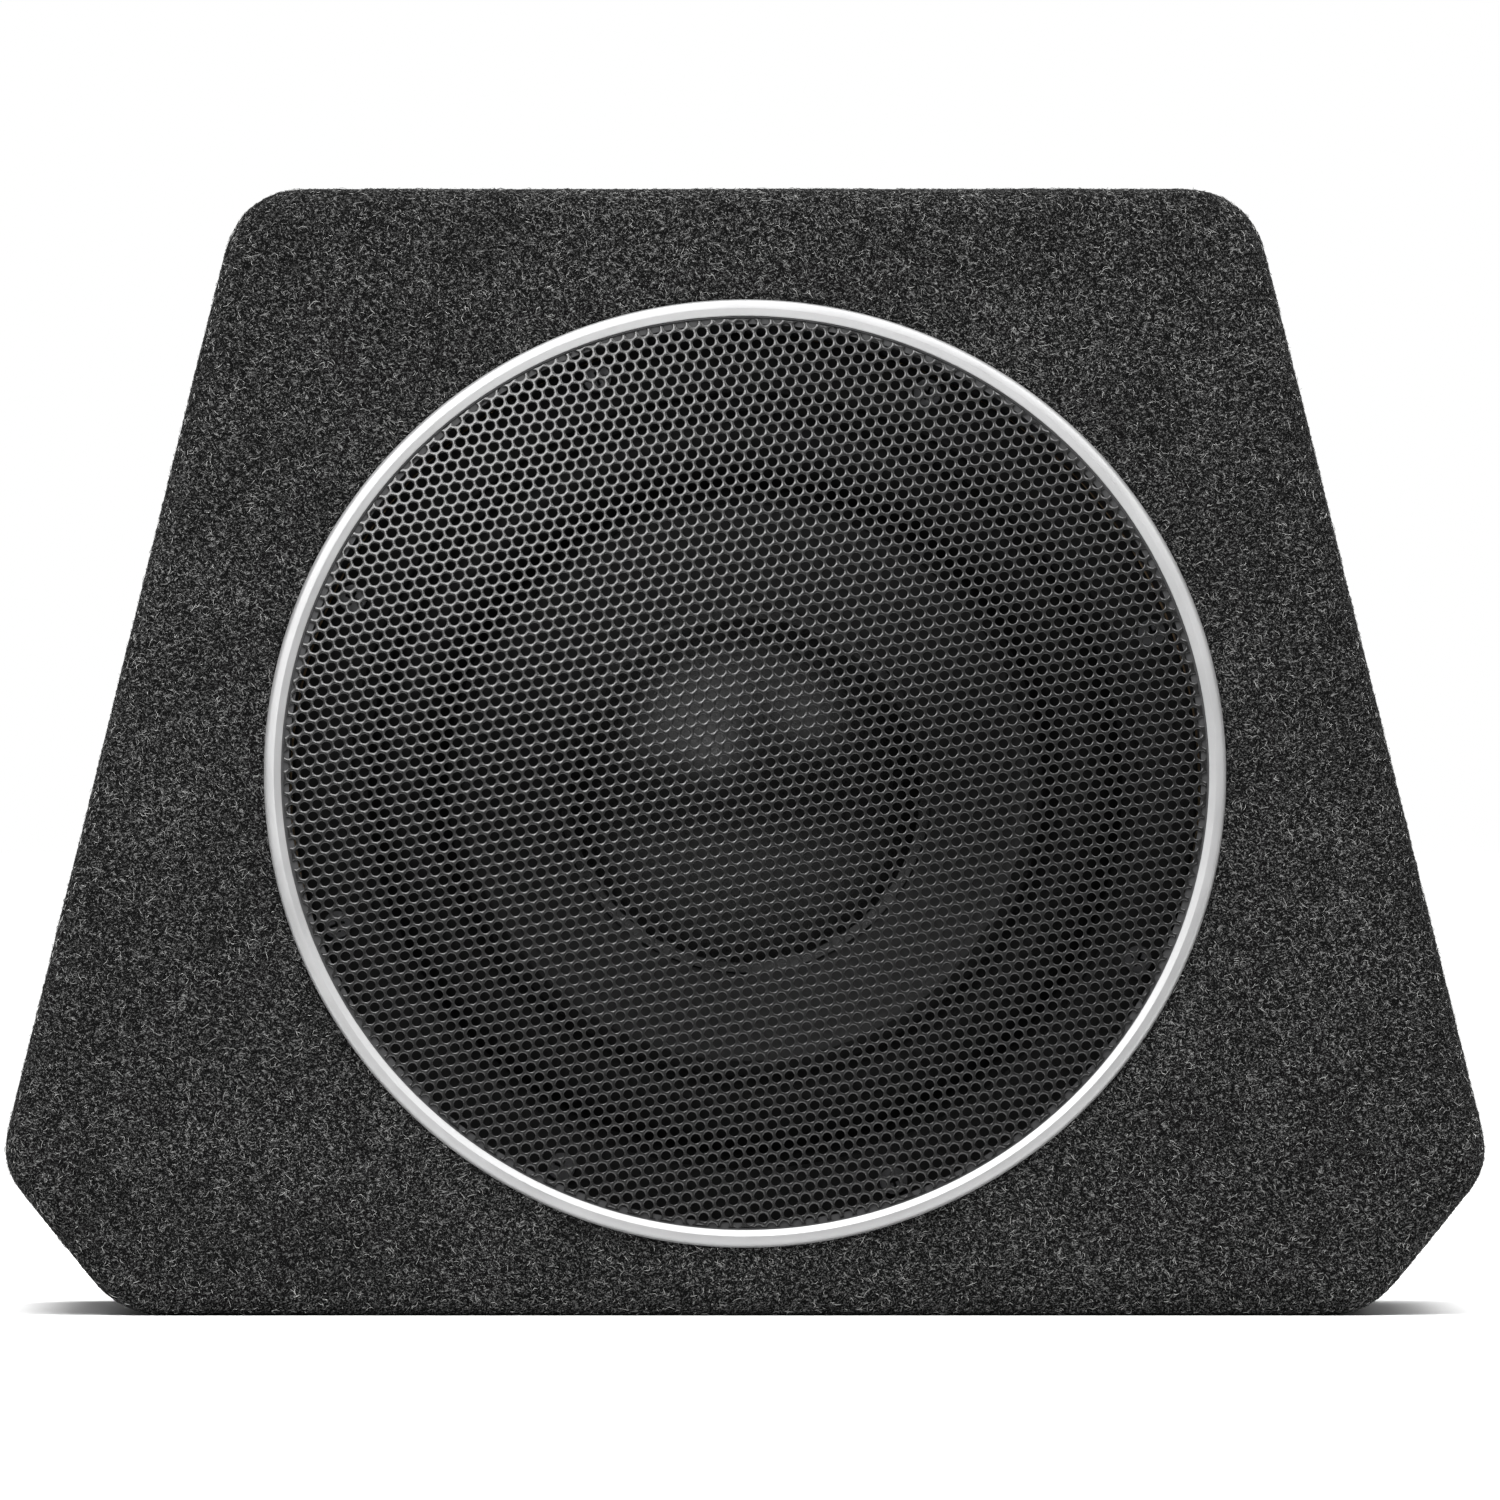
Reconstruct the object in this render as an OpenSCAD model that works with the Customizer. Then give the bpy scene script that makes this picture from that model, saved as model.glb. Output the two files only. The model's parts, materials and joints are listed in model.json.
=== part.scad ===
// Powered car subwoofer: a carpeted wedge cabinet with one woofer and a rear amplifier.
// Millimetres. X is to the right seen from the front, Y runs to the back and Z is up.
// The origin is on the floor, under the middle of the base.

/* [Cabinet] */
// Height from the floor to the top, over the carpet
cabinet_height = 382; // [378:1:388]
// Depth at the floor, over the carpet
cabinet_depth = 250; // [246:1:262]
// Half of the width at the top
top_half_width = 171.7; // [168:0.1:176]
// Half of the width at the widest point
wide_half_width = 252.3; // [248:0.1:258]
// Height of the widest point
wide_height = 50.6; // [46:0.1:54]
// Half of the width at the floor
floor_half_width = 210.8; // [206:0.1:216]
// How far the baffle leans back, in degrees
baffle_tilt = 10; // [9:0.5:11]
// Corner radius at the top
top_radius = 25; // [20:1:26]
// Corner radius at the widest point
wide_radius = 20; // [20:1:24]
// Corner radius at the floor
floor_radius = 28; // [24:1:32]
// Roundover of the front and back edges, over the carpet
edge_radius = 9; // [8:0.5:10]

/* [Panels] */
// Thickness of each of the two baffle layers
baffle_thickness = 18; // [17:0.5:19]
// Thickness of the other panels
panel_thickness = 15; // [14:0.5:16]
// Thickness of the carpet
carpet_thickness = 3; // [2.5:0.5:3.5]
// How far the front and back carpets fold over the sides
carpet_fold = 14; // [12:1:18]

/* [Grille] */
// Height of the grille's centre above the floor
grille_height = 183.5; // [182:0.5:186]
// Outer radius of the trim ring
ring_radius = 163; // [162.5:0.1:164]
// How far the trim ring reaches inward
ring_width = 5.8; // [5.6:0.1:6]
// How far the mesh bulges
mesh_bulge = 9; // [7:0.5:10]
// Thickness of the mesh sheet
mesh_thickness = 1; // [0.8:0.1:1.2]

/* [Woofer] */
// Radius of the frame's flange
flange_radius = 153.8; // [153.5:0.1:154]
// Radius of the circle of mounting screws
screw_circle = 147; // [146:0.5:147.5]
// Number of mounting screws
screw_count = 8; // [4, 6, 8]
// Angle of the first mounting screw
screw_angle = 20; // [0:1:44]
// Radius of the cone at the surround
cone_radius = 101; // [100:0.5:101.5]
// Radius of the dust cap where it leaves the cone
cap_radius = 59.5; // [56:0.5:61]
// Height of the dust cap
cap_height = 22; // [18:1:24]
// Inner radius of the voice coil former
coil_radius = 25.1; // [25:0.1:25.3]
// Outer radius of the magnet
magnet_radius = 70; // [66:1:74]

/* [Amplifier] */
// Height of the amplifier's centre above the floor
amp_height = 185; // [180:1:190]
// Width of the amplifier's plate
plate_width = 262; // [262:1:266]
// Height of the amplifier's plate
plate_height = 152; // [152:1:156]
// Number of cooling fins
fin_count = 14; // [8:1:15]
// How far the fins stand out
fin_reach = 13; // [8:1:16]
// Radius of the control knobs
knob_radius = 8; // [7:0.5:9]
// Radius of a power cable's hole
cable_radius = 3.2; // [3:0.1:3.4]

/* [Hidden] */
$fn = 64;
tiny = 0.02;
reach = 900;
slice = 0.5;
corner_steps = 5;
edge_steps = 4;
front_y = -cabinet_depth / 2;
back_y = cabinet_depth / 2;
wood_edge = edge_radius - carpet_thickness;
wall_inset = carpet_thickness + panel_thickness;
baffle_back = carpet_thickness + baffle_thickness;
inner_back = baffle_back + baffle_thickness;
back_panel_y = back_y - wall_inset;
floor_flat = floor_half_width - 16;
corner_points = [
  [-top_half_width, cabinet_height],
  [top_half_width, cabinet_height],
  [wide_half_width, wide_height],
  [floor_half_width, 0],
  [-floor_half_width, 0],
  [-wide_half_width, wide_height]
];
corner_radii = [top_radius, top_radius, wide_radius, floor_radius, floor_radius, wide_radius];

// Heights over the wood of the baffle, along the woofer's axis
mount_n = -baffle_thickness;
flange_n = mount_n + 2.5;
lip_thickness = 1;
gasket_n = flange_n + 4;
head_n = gasket_n + 2.6;
shelf_n = mount_n - 53.5;
cup_n = mount_n - 79;
steel = 2.5;
cone_top_n = flange_n - lip_thickness;
cone_flat = cone_radius - 7;
neck_n = cone_top_n - 33.7;
neck_radius = coil_radius + 0.55;
cone_wall = 1.1;
cone_slope = (cone_top_n - neck_n) / (cone_flat - neck_radius);
roll_radius = 13.5;
roll_middle = cone_radius + 0.5 + roll_radius;
plate_n = cup_n - 8;
magnet_n = plate_n - 20;
yoke_n = magnet_n - 8;
pole_radius = coil_radius - 0.5;
gap_radius = coil_radius + 2.1;
shelf_inner = 71;
recess_radius = ring_radius - 5;
skirt_radius = flange_radius + 0.8;
mesh_radius = ring_radius - ring_width - 0.6;
mesh_n = carpet_thickness + 0.4;
board_angle = -90;

// Places on the amplifier, in Y and around its centre
plate_t = 2.5;
plate_y = back_y + plate_t;
board_y = back_y - 21;
board_t = 1.6;
board_top = board_y + board_t;
tray_depth = 42;
tray_wall = 1.5;
tray_width = plate_width - 30;
tray_height = plate_height - 30;
cut_width = tray_width + 4;
cut_height = tray_height + 4;
knob_places = [28, 62, 96];
knob_rise = 42;
switch_places = [36, 78];
switch_rise = 16;
led_place = 106;
rca_places = [22, 42];
socket_place = 73;
port_place = 102;
jack_rise = -12;
block_rise = -45;
block_from = 12;
block_to = 114;
block_half = 12;
cable_places = [26, 68];
remote_place = 47;
fuse_places = [88, 104];
shaft_radius = 3;
shaft_gap = 0.05;
switch_travel = 4;
lead_side = 9;

function unit(v) = v / norm(v);
function corner_at(i) = corner_points[(i + 6) % 6];

// The points of one rounded corner of the cabinet's outline, moved in by an inset
function corner_arc(i, inset) =
  let (here = corner_at(i))
  let (back = unit(corner_at(i - 1) - here))
  let (on = unit(corner_at(i + 1) - here))
  let (half = acos(back * on) / 2)
  let (radius = max(corner_radii[i] - inset, 0.5))
  let (middle = here + unit(back + on) * (inset + radius) / sin(half))
  let (first = atan2(-back[0], back[1]))
  let (turn = 180 - 2 * half)
  [
    for (k = [0:corner_steps])
      let (a = first - turn * k / corner_steps)
      middle + radius * [cos(a), sin(a)]
  ];

// The surface of the cone at a radius
function cone_n(r) = cone_top_n - cone_slope * (cone_flat - r);

module outline(inset) {
  polygon([for (i = [0:5]) each corner_arc(i, inset)]);
}

// The outline as a block between two places along Y
module block_y(from, to, inset) {
  translate([0, to, 0])
    rotate([90, 0, 0])
      linear_extrude(to - from)
        outline(inset);
}

// Everything in front of a plane that leans as the baffle does, at a depth behind its carpet
module ahead_of(depth) {
  translate([0, front_y + depth / cos(baffle_tilt), 0])
    rotate([-baffle_tilt, 0, 0])
      translate([-reach / 2, -reach, -reach / 2])
        cube(reach);
}

module behind(depth) {
  translate([0, front_y + depth / cos(baffle_tilt), 0])
    rotate([-baffle_tilt, 0, 0])
      translate([-reach / 2, 0, -reach / 2])
        cube(reach);
}

// A block that leans as the baffle does, between two depths behind its carpet
module leaning_block(from, to, inset) {
  flat = cos(baffle_tilt);
  multmatrix([[1, 0, 0, 0], [0, 1, tan(baffle_tilt), 0], [0, 0, 1, 0], [0, 0, 0, 1]])
    block_y(front_y + from / flat, front_y + to / flat, inset);
}

// A leaning slab with a rounded front edge
module front_slab(depth, thickness, inset, edge) {
  hull() {
    leaning_block(depth + edge, depth + thickness, inset);
    for (k = [1:edge_steps]) {
      a = 90 * k / edge_steps;
      from = depth + edge * (1 - sin(a));
      leaning_block(from, from + slice, inset + edge * (1 - cos(a)));
    }
  }
}

// An upright slab with a rounded back edge
module back_slab(depth, thickness, inset, edge) {
  hull() {
    block_y(back_y - depth - thickness, back_y - depth - edge, inset);
    for (k = [1:edge_steps]) {
      a = 90 * k / edge_steps;
      y = back_y - depth - edge * (1 - sin(a));
      block_y(y - slice, y, inset + edge * (1 - cos(a)));
    }
  }
}

// Places children on the baffle's wood, with Z along the woofer's axis and out to the front
module on_baffle() {
  translate([0, front_y + grille_height * tan(baffle_tilt), grille_height])
    rotate([90 - baffle_tilt, 0, 0])
      translate([0, 0, -carpet_thickness])
        children();
}

// Places children on the amplifier, with Z out to the back
module on_amp(x, rise, y) {
  translate([x, y, amp_height + rise])
    rotate([-90, 0, 0])
      children();
}

// A box centred in X and Z, running back from a place in Y
module amp_box(x, rise, y, size) {
  translate([x - size[0] / 2, y, amp_height + rise - size[2] / 2])
    cube(size);
}

module wall_ring(inset, thickness, from, to) {
  difference() {
    block_y(from, to, inset);
    block_y(from - 1, to + 1, inset + thickness);
  }
}

// One mitred wall between two corners of the outline
module wall(i) {
  here = corner_at(i);
  next = corner_at(i + 1);
  here_in = unit(unit(corner_at(i - 1) - here) + unit(next - here));
  next_in = unit(unit(here - next) + unit(corner_at(i + 2) - next));
  difference() {
    intersection() {
      wall_ring(carpet_thickness, panel_thickness, front_y - 1, back_panel_y);
      translate([0, reach / 2, 0])
        rotate([90, 0, 0])
          linear_extrude(reach)
            polygon([
              here - here_in * 30,
              next - next_in * 30,
              next + next_in * 60,
              here + here_in * 60
            ]);
    }
    ahead_of(baffle_back);
  }
}

module baffle_front() {
  color("#9c7b52")
    difference() {
      front_slab(carpet_thickness, baffle_thickness, carpet_thickness, wood_edge);
      on_baffle()
        translate([0, 0, -60])
          cylinder(r = recess_radius, h = 120, $fn = 128);
    }
}

module baffle_inner() {
  color("#93734c")
    difference() {
      block_y(front_y - 1, back_y, wall_inset);
      ahead_of(baffle_back);
      behind(inner_back);
      on_baffle() {
        translate([0, 0, -90])
          cylinder(r = 136, h = 120, $fn = 128);
        screw_ring(mount_n - 17.5, 20, 2.05);
      }
    }
}

// The woofer's screws as a ring of cylinders
module screw_ring(from, length, radius) {
  for (k = [0:screw_count - 1])
    rotate([0, 0, screw_angle + k * 360 / screw_count])
      translate([screw_circle, 0, from])
        cylinder(r = radius, h = length);
}

module top_panel() {
  color("#a08058")
    wall(0);
}

module right_panel() {
  color("#a08058")
    wall(1);
}

module right_corner_panel() {
  color("#98784f")
    wall(2);
}

module bottom_panel() {
  color("#a08058")
    wall(3);
}

module left_corner_panel() {
  color("#98784f")
    wall(4);
}

module left_panel() {
  color("#a08058")
    wall(5);
}

module back_panel() {
  color("#9c7b52")
    difference() {
      back_slab(carpet_thickness, panel_thickness, carpet_thickness, wood_edge);
      amp_box(0, 0, back_panel_y - 5, [cut_width, 40, cut_height]);
      amp_screw_ring(back_y - carpet_thickness - 14, 20, 1.8);
    }
}

module carpet_front() {
  color("#2c2c2e")
    difference() {
      front_slab(0, carpet_fold, 0, edge_radius);
      front_slab(carpet_thickness, carpet_fold + 6, carpet_thickness, wood_edge);
      on_baffle()
        translate([0, 0, -60])
          cylinder(r = recess_radius, h = 120, $fn = 128);
    }
}

module carpet_wrap() {
  color("#2a2a2c")
    difference() {
      wall_ring(0, carpet_thickness, front_y - 1, back_y - carpet_fold);
      ahead_of(carpet_fold);
      translate([-floor_flat, front_y, -1])
        cube([2 * floor_flat, cabinet_depth, carpet_thickness + 2]);
    }
}

module carpet_bottom() {
  color("#28282a")
    difference() {
      translate([-floor_flat, front_y, 0])
        cube([2 * floor_flat, cabinet_depth - carpet_fold, carpet_thickness]);
      ahead_of(carpet_fold);
    }
}

module carpet_back() {
  color("#2c2c2e")
    difference() {
      back_slab(0, carpet_fold, 0, edge_radius);
      back_slab(carpet_thickness, carpet_fold + 6, carpet_thickness, wood_edge);
      amp_box(0, 0, back_y - 20, [plate_width - 11.4, 40, plate_height - 11.4]);
      amp_screw_ring(back_y - 10, 20, 2.2);
    }
}

module grille_mesh() {
  steps = 14;
  color("#161617")
    on_baffle()
      rotate_extrude($fn = 128)
        polygon([
          for (k = [0:steps])
            [mesh_radius * k / steps, mesh_n + mesh_bulge * (1 - pow(k / steps, 2))],
          for (k = [steps:-1:0])
            [
              mesh_radius * k / steps,
              mesh_n + mesh_thickness + mesh_bulge * (1 - pow(k / steps, 2))
            ]
        ]);
}

module grille_ring() {
  inner = ring_radius - ring_width;
  seat = ring_radius - 1.4;
  low = carpet_thickness;
  color("#c4c6c8")
    on_baffle()
      rotate_extrude($fn = 128)
        polygon([
          [inner, low + 1.3],
          [inner, low + 1.5],
          [inner + 1.7, low + 2.5],
          [inner + 3, low + 2.8],
          [inner + 4.2, low + 2.6],
          [ring_radius - 0.7, low + 2],
          [ring_radius - 0.2, low + 1.2],
          [ring_radius, low],
          [seat, low],
          [seat, low + 1.3]
        ]);
}

module grille_carrier() {
  low = carpet_thickness;
  color("#1c1c1e")
    on_baffle()
      rotate_extrude($fn = 128)
        polygon([
          [skirt_radius, mount_n],
          [skirt_radius, mesh_n],
          [mesh_radius + 0.1, mesh_n],
          [mesh_radius + 0.1, low + 1.2],
          [ring_radius - 1.5, low + 1.2],
          [ring_radius - 1.5, low],
          [recess_radius - 0.2, low],
          [recess_radius - 0.2, mount_n]
        ]);
}

module basket() {
  windows = 8;
  color("#1a1a1c")
    on_baffle()
      difference() {
        rotate_extrude($fn = 128)
          polygon([
            [flange_radius, flange_n],
            [130.5, flange_n],
            [130.5, mount_n - 18.8],
            [81.8, shelf_n],
            [shelf_inner, shelf_n],
            [shelf_inner, cup_n + steel],
            [42, cup_n + steel],
            [42, cup_n],
            [shelf_inner + steel, cup_n],
            [shelf_inner + steel, shelf_n - steel],
            [83, shelf_n - steel],
            [133, mount_n - 20],
            [133, mount_n],
            [flange_radius, mount_n]
          ]);
        for (k = [0:windows - 1])
          rotate([0, 0, (k + 0.5) * 360 / windows + 22.5]) {
            translate([107, 0, -55])
              rotate([0, 35.5, 0])
                cube([34, 52, 30], center = true);
            translate([shelf_inner - 8, 0, (shelf_n + cup_n) / 2])
              rotate([0, 90, 0])
                cylinder(r = 7, h = 20);
          }
        screw_ring(mount_n - 1, 6, 2.4);
      }
}

module front_gasket() {
  step = roll_middle + roll_radius + 8.2;
  color("#202021")
    on_baffle()
      difference() {
        rotate_extrude($fn = 128)
          polygon([
            [step - 3.2, flange_n + lip_thickness],
            [step, flange_n + lip_thickness],
            [step, flange_n],
            [flange_radius - 0.3, flange_n],
            [flange_radius - 0.3, gasket_n - 1],
            [flange_radius - 1.3, gasket_n],
            [step - 2.2, gasket_n],
            [step - 3.2, gasket_n - 1]
          ]);
        screw_ring(mount_n - 1, 12, 2.3);
      }
}

module surround() {
  steps = 20;
  inner_arc = roll_radius - lip_thickness;
  first = asin(lip_thickness / roll_radius);
  color("#232325")
    on_baffle()
      rotate_extrude($fn = 128)
        polygon([
          [cone_radius - 5, cone_top_n],
          [roll_middle - inner_arc, cone_top_n],
          for (k = [0:steps])
            let (a = 180 - 180 * k / steps)
            [roll_middle + inner_arc * cos(a), flange_n + inner_arc * sin(a)],
          [roll_middle + roll_radius + 8, flange_n],
          [roll_middle + roll_radius + 8, flange_n + lip_thickness],
          for (k = [0:steps])
            let (a = first + (180 - first) * k / steps)
            [roll_middle + roll_radius * cos(a), flange_n + roll_radius * sin(a)],
          [cone_radius - 5, flange_n]
        ]);
}

module cone() {
  color("#1d1d1f")
    on_baffle()
      rotate_extrude($fn = 128)
        polygon([
          [neck_radius, neck_n],
          [cone_flat, cone_top_n],
          [cone_radius, cone_top_n],
          [cone_radius, cone_top_n - cone_wall],
          [cone_flat + 0.4, cone_top_n - cone_wall],
          [neck_radius + cone_wall, neck_n - cone_wall],
          [neck_radius + cone_wall, neck_n - 4],
          [neck_radius, neck_n - 4]
        ]);
}

module dust_cap() {
  steps = 12;
  wall = 1.2;
  rim = 3.5;
  base = cone_n(cap_radius) + tiny;
  ball = (pow(cap_radius, 2) + pow(cap_height, 2)) / (2 * cap_height);
  sweep = asin(cap_radius / ball);
  middle = base + wall + cap_height - ball;
  color("#242426")
    on_baffle()
      rotate_extrude($fn = 128)
        polygon([
          for (k = [0:steps])
            let (a = sweep * k / steps)
            [ball * sin(a), middle + ball * cos(a)],
          [cap_radius + rim, cone_n(cap_radius + rim) + tiny + wall],
          [cap_radius + rim, cone_n(cap_radius + rim) + tiny],
          [cap_radius, base],
          for (k = [steps:-1:0])
            let (a = sweep * k / steps)
            [(ball - wall) * sin(a), middle + (ball - wall) * cos(a)]
        ]);
}

module tube(inner, outer, from, to) {
  translate([0, 0, from])
    difference() {
      cylinder(r = outer, h = to - from, $fn = 96);
      translate([0, 0, -1])
        cylinder(r = inner, h = to - from + 2, $fn = 96);
    }
}

module coil_former() {
  color("#c9a46a")
    on_baffle()
      tube(coil_radius, coil_radius + 0.5, magnet_n + 11, neck_n + 2);
}

module voice_coil() {
  middle = (cup_n + plate_n) / 2;
  color("#b87333")
    on_baffle()
      tube(coil_radius + 0.5, coil_radius + 1.4, middle - 12, middle + 12);
}

module spider() {
  steps = 60;
  thick = 0.8;
  from = neck_radius + 5;
  to = shelf_inner - 2;
  wave = 2.2;
  waves = 5;
  color("#c8b184")
    on_baffle()
      rotate_extrude($fn = 128)
        polygon([
          [neck_radius, shelf_n],
          for (k = [0:steps])
            [from + (to - from) * k / steps, shelf_n + wave * sin(360 * waves * k / steps)],
          [80, shelf_n],
          [80, shelf_n + thick],
          for (k = [steps:-1:0])
            [
              from + (to - from) * k / steps,
              shelf_n + thick + wave * sin(360 * waves * k / steps)
            ],
          [neck_radius, shelf_n + thick]
        ]);
}

module top_plate() {
  color("#6f7276")
    on_baffle()
      tube(gap_radius, magnet_radius - 4, plate_n, cup_n);
}

module magnet() {
  color("#2f3033")
    on_baffle()
      tube(36, magnet_radius, magnet_n, plate_n);
}

module yoke() {
  color("#6b6e72")
    on_baffle()
      difference() {
        union() {
          translate([0, 0, yoke_n])
            cylinder(r = magnet_radius - 4, h = magnet_n - yoke_n, $fn = 96);
          translate([0, 0, magnet_n - 1])
            cylinder(r = pole_radius, h = cup_n - magnet_n + 2, $fn = 96);
        }
        translate([0, 0, yoke_n - 1])
          cylinder(r = 10, h = cup_n - yoke_n + 4);
      }
}

module terminal_board() {
  color("#3a2f26")
    on_baffle()
      rotate([0, 0, board_angle])
        translate([shelf_inner + 4, -18, shelf_n - steel - 3])
          cube([28, 36, 3]);
}

// A round lead along straight runs, each a little thinner or thicker than the next
module round_lead(points, radius) {
  last = len(points) - 1;
  for (k = [0:last - 1]) {
    step = points[k + 1] - points[k];
    flat = norm([step[0], step[1]]);
    before = k > 0 ? 0.7 * radius : 0;
    after = k < last - 1 ? 0.7 * radius : 0;
    translate(points[k])
      rotate([0, atan2(flat, step[2]), atan2(step[1], step[0])])
        translate([0, 0, -before])
          cylinder(r = radius * (k % 2 == 0 ? 1 : 0.94), h = norm(step) + before + after, $fn = 32);
  }
}

module tinsel_leads() {
  board_n = shelf_n - steel;
  color("#b8763a")
    on_baffle()
      rotate([0, 0, board_angle])
        for (side = [-1, 1])
          round_lead([
            [98, side * 8, board_n + 0.1],
            [99, side * 8, board_n + 15],
            [86, side * 8, board_n + 26],
            [64, side * 8, cone_n(64) - 2.6]
          ], 0.9);
}

module driver_screws() {
  color("#2b2b2d")
    on_baffle()
      difference() {
        union() {
          screw_ring(mount_n - 16, gasket_n - mount_n + 16.5, 2);
          screw_ring(gasket_n, head_n - gasket_n, 4.6);
        }
        for (k = [0:screw_count - 1])
          rotate([0, 0, screw_angle + k * 360 / screw_count])
            translate([screw_circle, 0, head_n - 1.4]) {
              cube([5.4, 1.1, 4], center = true);
              cube([1.1, 5.4, 4], center = true);
            }
      }
}

// One lead from the woofer's terminal to the amplifier's board
module speaker_lead(side) {
  round_lead([
    [side * lead_side, -24, 74],
    [side * lead_side, 30, 74],
    [side * lead_side, 62, 98],
    [side * lead_side, 68, 142],
    [side * lead_side, board_y - 0.1, 142]
  ], 1.6);
}

module lead_positive() {
  color("#a8282a")
    speaker_lead(1);
}

module lead_negative() {
  color("#141415")
    speaker_lead(-1);
}

// The amplifier's screws, around the rim of its plate
module amp_screw_ring(from, length, radius) {
  side = plate_width / 2 - 7;
  rise = plate_height / 2 - 7;
  for (x = [-side, -side / 2, 0, side / 2, side])
    for (z = [-rise, 0, rise])
      if (z != 0 || abs(x) == side)
        on_amp(x, z, from)
          cylinder(r = radius, h = length, $fn = 32);
}

module amp_plate() {
  color("#1b1b1d")
    difference() {
      amp_box(0, 0, back_y, [plate_width, plate_t, plate_height]);
      amp_screw_ring(back_y - 1, plate_t + 2, 2.1);
      for (x = knob_places)
        on_amp(x, knob_rise, back_y - 1)
          cylinder(r = 4.6, h = plate_t + 2);
      for (x = switch_places)
        amp_box(x + switch_travel / 2, switch_rise, back_y - 1, [switch_travel + 5, 5, 5]);
      on_amp(led_place, switch_rise, back_y - 1)
        cylinder(r = 1.7, h = plate_t + 2);
      for (x = rca_places)
        on_amp(x, jack_rise, back_y - 1)
          cylinder(r = 5.4, h = plate_t + 2);
      amp_box(socket_place, jack_rise, back_y - 1, [22.4, 5, 12.4]);
      amp_box(port_place, jack_rise, back_y - 1, [15.4, 5, 13.4]);
      amp_box(
        (block_from + block_to) / 2, block_rise, back_y - 1,
        [block_to - block_from + 0.4, 5, 2 * block_half + 0.4]
      );
    }
}

module heatsink() {
  width = 112;
  tall = 120;
  base = 4;
  fin = 1.8;
  gap = (width - fin) / (fin_count - 1);
  left = -6 - width;
  color("#222224")
    union() {
      translate([left, plate_y, amp_height - tall / 2])
        cube([width, base, tall]);
      for (k = [0:fin_count - 1])
        translate([left + k * gap, plate_y + base - 0.5, amp_height - tall / 2])
          cube([fin, fin_reach + 0.5, tall]);
    }
}

module amp_tray() {
  color("#8d9094")
    difference() {
      amp_box(0, 0, back_y - tray_depth, [tray_width, tray_depth, tray_height]);
      amp_box(
        0, 0, back_y - tray_depth + tray_wall,
        [tray_width - 2 * tray_wall, tray_depth, tray_height - 2 * tray_wall]
      );
      for (side = [-1, 1])
        on_amp(side * lead_side, 142 - amp_height, back_y - tray_depth - 1)
          cylinder(r = 2.2, h = 4);
    }
}

module amp_gasket() {
  color("#101011")
    difference() {
      amp_box(
        0, 0, back_y - carpet_thickness,
        [plate_width - 12, carpet_thickness, plate_height - 12]
      );
      amp_box(0, 0, back_y - carpet_thickness - 1, [cut_width + 2, 8, cut_height + 2]);
      amp_screw_ring(back_y - carpet_thickness - 1, 8, 2);
    }
}

module amp_screws() {
  color("#303033")
    difference() {
      union() {
        amp_screw_ring(plate_y - 17, 17.2, 1.75);
        amp_screw_ring(plate_y, 2, 3.8);
      }
      amp_screw_cross();
    }
}

// The cross slots in the amplifier's screws
module amp_screw_cross() {
  side = plate_width / 2 - 7;
  rise = plate_height / 2 - 7;
  for (x = [-side, -side / 2, 0, side / 2, side])
    for (z = [-rise, 0, rise])
      if (z != 0 || abs(x) == side)
        on_amp(x, z, plate_y + 1.2) {
          cube([4.4, 0.9, 3], center = true);
          cube([0.9, 4.4, 3], center = true);
        }
}

module circuit_board() {
  color("#1d5b34")
    difference() {
      amp_box(0, 0, board_y, [tray_width - 8, board_t, tray_height - 8]);
      for (x = [-1, 1])
        for (z = [-1, 1])
          on_amp(x * (tray_width / 2 - 9), z * (tray_height / 2 - 9), board_y - 1)
            cylinder(r = 1.6, h = 4, $fn = 32);
    }
}

module transformer() {
  color("#a4682f")
    on_amp(-70, -18, board_y - 15.5)
      rotate_extrude($fn = 96)
        translate([15, 7.6])
          circle(r = 7.4, $fn = 48);
}

module capacitors() {
  color("#24324a")
    for (k = [0:3])
      on_amp(-84 + 20 * k, 34, board_y - 16)
        cylinder(r = 8, h = 16);
}

module power_transistors() {
  color("#17171a")
    for (k = [0:5])
      translate([-112 + 17 * k, 0, amp_height - 40]) {
        translate([0, back_y - 4.5, 0])
          cube([10, 4.5, 15]);
        for (pin = [0:2])
          translate([1.6 + 2.8 * pin, board_top, 2])
            cube([1, back_y - 4 - board_top, 0.8]);
      }
}

// A knob with its shaft, which runs in a potentiometer
module knob(x) {
  grooves = 18;
  from = plate_y + 3.5;
  color("#19191b")
    on_amp(x, knob_rise, 0)
      difference() {
        union() {
          translate([0, 0, board_top + 5])
            cylinder(r = shaft_radius, h = from + 1 - board_top - 5);
          translate([0, 0, from])
            cylinder(r = knob_radius, h = 11);
          translate([0, 0, from + 11])
            cylinder(r = knob_radius - 1.2, h = 0.8);
        }
        for (k = [0:grooves - 1])
          rotate([0, 0, k * 360 / grooves])
            translate([knob_radius + 0.2, 0, from + 1.5])
              cylinder(r = 0.7, h = 12, $fn = 16);
        translate([-0.5, -knob_radius + 0.6, from + 11.2])
          cube([1, knob_radius - 2, 3]);
      }
}

module level_knob() {
  knob(knob_places[0]);
}

module crossover_knob() {
  knob(knob_places[1]);
}

module boost_knob() {
  knob(knob_places[2]);
}

module pot(x) {
  color("#7b7f86")
    difference() {
      union() {
        amp_box(x, knob_rise, board_top, [16, 11, 16]);
        on_amp(x, knob_rise, board_top + 10)
          cylinder(r = 4.5, h = plate_y + 3 - board_top - 10);
      }
      on_amp(x, knob_rise, board_top + 4)
        cylinder(r = shaft_radius + shaft_gap, h = 40);
    }
}

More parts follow.
